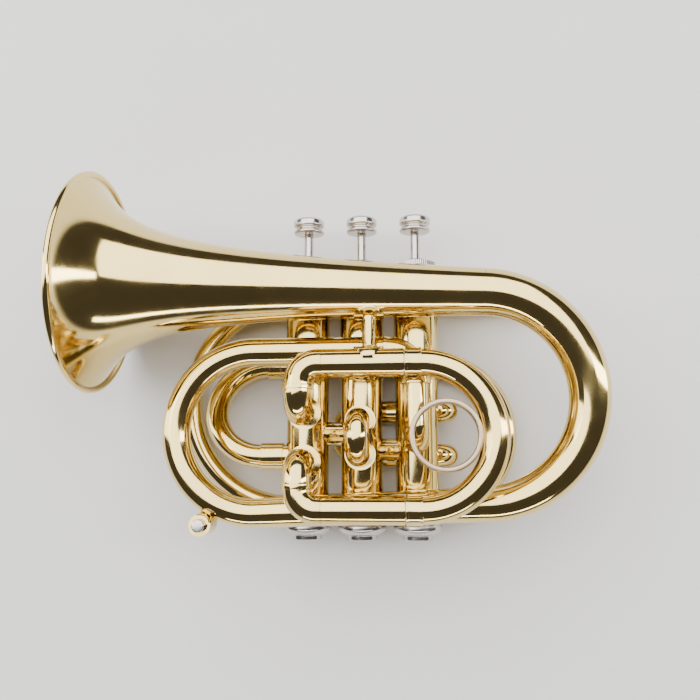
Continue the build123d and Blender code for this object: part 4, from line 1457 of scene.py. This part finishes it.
@dataclass
class LeadpipeAndTuning:
    """The receiver, the leadpipe, the tuning slide and the tube into valve 3. Millimetres."""

    shop: Workshop
    datum: Datum
    valves: ValveSection
    z: float = -16.49
    pipe_y: float = 62.4
    pipe_r: float = 4.5
    pipe_bow_x: float = -33.5
    legs: tuple[float, float] = (31.8, -32.2)
    tube_r: float = 5.85
    leg_r: float = 5.3
    bow_x: float = 31.0
    outer_end: float = 24.1
    leg_l: float = 34.0
    return_x: float = -44.4
    return_r: float = 5.2
    entry_y: float = -9.6
    reducer_l: float = 3.0
    ferrule_l: float = 6.5
    ferrule_wall: float = 0.75
    band_step: float = 0.375
    third_band_l: float = 2.0
    elbow_band_l: float = 1.6
    knuckle_band_l: float = 2.2
    collar_l: float = 1.2
    receiver_end: float = 75.0
    receiver_l: float = 34.0
    receiver_r: float = 5.8
    lip_r: float = 6.5
    lip_l: float = 3.0
    socket_r: float = 4.9
    socket_depth: float = 22.0

    def build(self) -> None:
        """Make the leadpipe and everything behind the valves."""
        self._receiver()
        self._fixed_tubes()
        self._slide()
        self._ferrules()

    def _receiver(self) -> None:
        """Turn the mouthpiece receiver."""
        end, start = self.receiver_end, self.receiver_end - self.receiver_l
        body = soften(
            [
                (start, self.pipe_r),
                (start, self.receiver_r - 0.9),
                (start + 0.8, self.receiver_r - 0.1),
                (start + 1.6, self.receiver_r),
                (start + 2.4, self.receiver_r - 0.2),
                (start + 3.2, self.receiver_r),
                (end - self.lip_l - 1.2, self.receiver_r),
                (end - self.lip_l - 0.8, self.receiver_r - 0.25),
                (end - self.lip_l - 0.3, self.receiver_r),
                (end - self.lip_l, self.lip_r),
                (end, self.lip_r),
                (end, self.socket_r),
                (end - self.socket_depth, self.socket_r - 0.2),
                (end - self.socket_depth, self.pipe_r),
            ],
            0.5,
            True,
        )
        origin = self.datum.at(0, self.pipe_y, self.z)
        piece = self.shop.turned("receiver", [(origin, X, body, True)], Slot.BRASS, 96)
        self.shop.seat(piece, Body.HORN, Slot.BRASS, ("mouthpiece_receiver",))

    def _fixed_tubes(self) -> None:
        """Sweep the leadpipe, its bow, the return bow and the entry tube."""
        at = self.datum.at
        pipe_end, bore_r = self.receiver_end - self.socket_depth, self.pipe_r - TUBE_WALL
        pipe = ring(self.pipe_bow_x, pipe_end, self.pipe_r, bore_r, 0.1)
        place = at(0, self.pipe_y, self.z)
        self.shop.rings("leadpipe_tube", [place], X, pipe, Body.HORN, Slot.BRASS, ("leadpipe",), 64)
        low = self.legs[1]
        bow = Route(at(self.pipe_bow_x, self.pipe_y, self.z), self.pipe_r, 1.5)
        bow.bend(at(self.pipe_bow_x, (self.pipe_y + low) / 2, self.z), Z, 180)
        bow.line(at(self.pipe_bow_x + self.reducer_l, low, self.z))
        piece = self.shop.tube("leadpipe_bow_tube", [bow], Slot.BRASS, sides=72)
        self.shop.seat(piece, Body.HORN, Slot.BRASS, ("leadpipe_bow",))
        start, end = at(self.return_x, self.entry_y, 0), at(self.return_x, self.legs[0], self.z)
        axis = (start - end).cross(X).normalized()
        loop = Route(start, self.return_r, 3.0).bend((start + end) / 2, -axis, 180)
        loop = self._checked(loop, start, end, axis)
        loop.line(end + X * self.reducer_l * MM)
        piece = self.shop.tube("return_bow_tube", [loop], Slot.BRASS)
        self.shop.seat(piece, Body.HORN, Slot.BRASS, ("return_bow",))
        inlet_end = at(self.valves.x(3) - self.valves.sunk_r, self.entry_y, 0)
        inlet = Route(start, self.return_r).line(inlet_end)
        seats = [self.valves.seat(3, -X)]
        piece = self.shop.tube("entry_tube_swept", [inlet], Slot.BRASS, seats)
        self.shop.seat(piece, Body.HORN, Slot.BRASS, ("entry_tube",))
        bore_r = self.leg_r + SLIDE_FIT
        outer = [
            (at(0, leg, self.z), X, ring(x + self.reducer_l, self.outer_end, self.tube_r, bore_r), True)
            for leg, x in zip(self.legs, (self.return_x, self.pipe_bow_x))
        ]
        piece = self.shop.turned("tuning_outer", outer, Slot.BRASS, 80)
        self.shop.seat(piece, Body.HORN, Slot.BRASS, ("tuning_outer_tubes",))

    def _checked(self, loop: Route, start: Vector, end: Vector, axis: Vector) -> Route:
        """Turn the return bow the way that bulges towards the bell.

        Args:
            loop: The bow as first bent.
            start: Its start.
            end: Its end.
            axis: The axis of the bend.

        Returns:
            The bow that bulges towards the bell.
        """
        if loop.points[len(loop.points) // 2].x < start.x:
            return loop
        return Route(start, self.return_r, 3.0).bend((start + end) / 2, axis, 180)

    def _slide(self) -> None:
        """Make the tuning slide."""
        at = self.datum.at
        places = [at(0, leg, self.z) for leg in self.legs]
        inner = ring(self.bow_x - self.leg_l, self.bow_x, self.leg_r, self.leg_r - TUBE_WALL)
        nodes = ("tuning_inner_legs",)
        self.shop.rings("tuning_legs", places, X, inner, Body.TUNING, Slot.NICKEL_SILVER, nodes)
        bow = Route(at(self.bow_x, self.legs[1], self.z), self.tube_r, 2.0)
        bow.bend(at(self.bow_x, sum(self.legs) / 2, self.z), Z, 180)
        piece = self.shop.tube("tuning_bow_tube", [bow], Slot.BRASS, sides=80)
        self.shop.seat(piece, Body.TUNING, Slot.BRASS, ("tuning_bow",))
        outer = self.tube_r + self.ferrule_wall
        ferrule = sleeve(self.bow_x - self.ferrule_l, self.bow_x, outer, self.leg_r)
        self.shop.rings("tuning_bow_ferrules", places, X, ferrule, Body.TUNING, Slot.BRASS)

    def _ferrules(self) -> None:
        """Turn the bands and ferrules that join the fixed tubes."""
        at, band = self.datum.at, self.tube_r + self.band_step
        entry_end = self.valves.x(3) - self.valves.casing_r - self.collar_l
        entry = ring(self.return_x, entry_end, self.tube_r, self.return_r)
        rings = [(at(0, self.entry_y, 0), X, entry, True)]
        for leg, x, pipe_r in zip(self.legs, (self.return_x, self.pipe_bow_x), (self.return_r, self.pipe_r)):
            rings.append((at(x, leg, self.z), X, sleeve(0, self.reducer_l * 2, band, pipe_r), True))
        third = ThirdSlide(self.shop, self.datum, self.valves)
        for leg, port in zip(third.legs, third.ports):
            middle = at(self.valves.x(3), (leg + port) / 2, third.z)
            half = self.third_band_l / 2
            rings.append((middle, Y, ring(-half, half, band, self.tube_r), True))
        bell = BellSection(self.shop, self.datum, self.valves)
        high = bell.branch_y + bell.branch_bow_r
        elbow_x = self.valves.x(1) - bell.knuckle_bend
        wide = bell.branch_r + self.band_step
        elbow_band = ring(-self.elbow_band_l, 0, wide, bell.branch_r)
        rings.append((at(elbow_x, high, bell.branch_z), X, elbow_band, True))
        down = at(self.valves.x(1), high - bell.knuckle_bend, bell.branch_z)
        rings.append((down, -Y, ring(0, self.knuckle_band_l, wide, bell.knuckle_r), True))
        piece = self.shop.turned("tube_bands", rings, Slot.BRASS, 80)
        self.shop.seat(piece, Body.HORN, Slot.BRASS, ("tube_ferrules",))


@dataclass
class WaterKey:
    """The push-button water key on the branch bow."""

    shop: Workshop

    def build(self) -> None:
        """Dress the barrel and the plunger."""
        self.shop.smoothed("water_key_barrel", Slot.BRASS, Body.HORN)
        self.shop.smoothed("water_key_plunger", Slot.NICKEL, Body.KEY)


@dataclass
class Studio:
    """The floor, the lights and the camera. Metres, unless a name says otherwise."""

    datum: Datum
    lens_mm: float = 41.14
    floor_size: float = 6.0
    sensor_mm: float = 36.0
    eye_mm: tuple[float, float, float] = (26.4, -8.5, 352.1)
    forward: tuple[float, float, float] = (-0.0889, 0.1283, -0.9877)
    upward: tuple[float, float, float] = (0.0122, 0.9917, 0.1277)
    world_level: float = 0.075
    world_tint: tuple[float, float, float, float] = (1.0, 0.93, 0.95, 1.0)
    target: tuple[float, float, float] = (0.0, 0.0, 0.03)
    boxes: tuple[SoftBox, ...] = (
        ("key_box", (-0.08, 0.46, 0.92), (1.9, 1.35), 36.0),
        ("left_box", (-0.80, 0.10, 0.34), (0.30, 0.95), 4.5),
        ("right_strip", (0.72, 0.05, 0.34), (0.12, 0.80), 3.5),
        ("low_strip", (0.05, -0.70, 0.24), (0.9, 0.08), 2.4),
    )

    def build(self) -> None:
        """Set up the studio."""
        self._floor()
        self._lights()
        self._camera()

    def _floor(self) -> None:
        """Lay the pale floor."""
        half = self.floor_size / 2
        mesh = bpy.data.meshes.new("floor")
        corners = [(-half, -half, 0), (half, -half, 0), (half, half, 0), (-half, half, 0)]
        mesh.from_pydata(corners, [], [(0, 1, 2, 3)])
        mesh.materials.append(
            Cloth("pale_floor", (0.74, 0.73, 0.71), (0.78, 0.77, 0.755), 14.0, 0.02, 0.6).make()
        )
        floor = bpy.data.objects.new("floor", mesh)
        bpy.context.scene.collection.objects.link(floor)

    def _lights(self) -> None:
        """Hang soft boxes round the instrument over a dim room."""
        world = bpy.data.worlds.new("studio")
        world.use_nodes = True
        background = world.node_tree.nodes["Background"]
        background.inputs["Color"].default_value = self.world_tint
        background.inputs["Strength"].default_value = self.world_level
        bpy.context.scene.world = world
        for name, place, (wide, tall), power in self.boxes:
            lamp = bpy.data.lights.new(name, "AREA")
            lamp.shape = "RECTANGLE"
            lamp.size = wide
            lamp.size_y = tall
            lamp.energy = power
            box = bpy.data.objects.new(name, lamp)
            box.location = place
            aim = Vector(self.target) - Vector(place)
            box.rotation_euler = aim.to_track_quat("-Z", "Y").to_euler()
            bpy.context.scene.collection.objects.link(box)

    def _camera(self) -> None:
        """Place the camera above the table, as a viewer would stand."""
        eye = bpy.data.cameras.new("camera")
        eye.lens = self.lens_mm
        eye.sensor_width = self.sensor_mm
        camera = bpy.data.objects.new("camera", eye)
        forward = Vector(self.forward).normalized()
        right = forward.cross(Vector(self.upward)).normalized()
        up = right.cross(forward)
        turn = Matrix((right, up, -forward)).transposed().to_4x4()
        camera.matrix_world = Matrix.Translation(self.datum.at(*self.eye_mm)) @ turn
        bpy.context.scene.collection.objects.link(camera)
        bpy.context.scene.camera = camera


def main() -> None:
    """Build the instrument and its studio."""
    logging.basicConfig(level=logging.INFO, format="%(name)s: %(message)s")
    datum = Datum.from_frame()
    shop = Workshop(Finishes())
    valves = ValveSection(shop, datum)
    assemblies = (
        valves,
        BellSection(shop, datum, valves),
        ThirdSlide(shop, datum, valves),
        SecondSlide(shop, datum, valves),
        FirstSlide(shop, datum, valves),
        LeadpipeAndTuning(shop, datum, valves),
        WaterKey(shop),
        Studio(datum),
    )
    for assembly in assemblies:
        log.info("building %s", type(assembly).__name__)
        assembly.build()


if __name__ == "__main__":
    main()
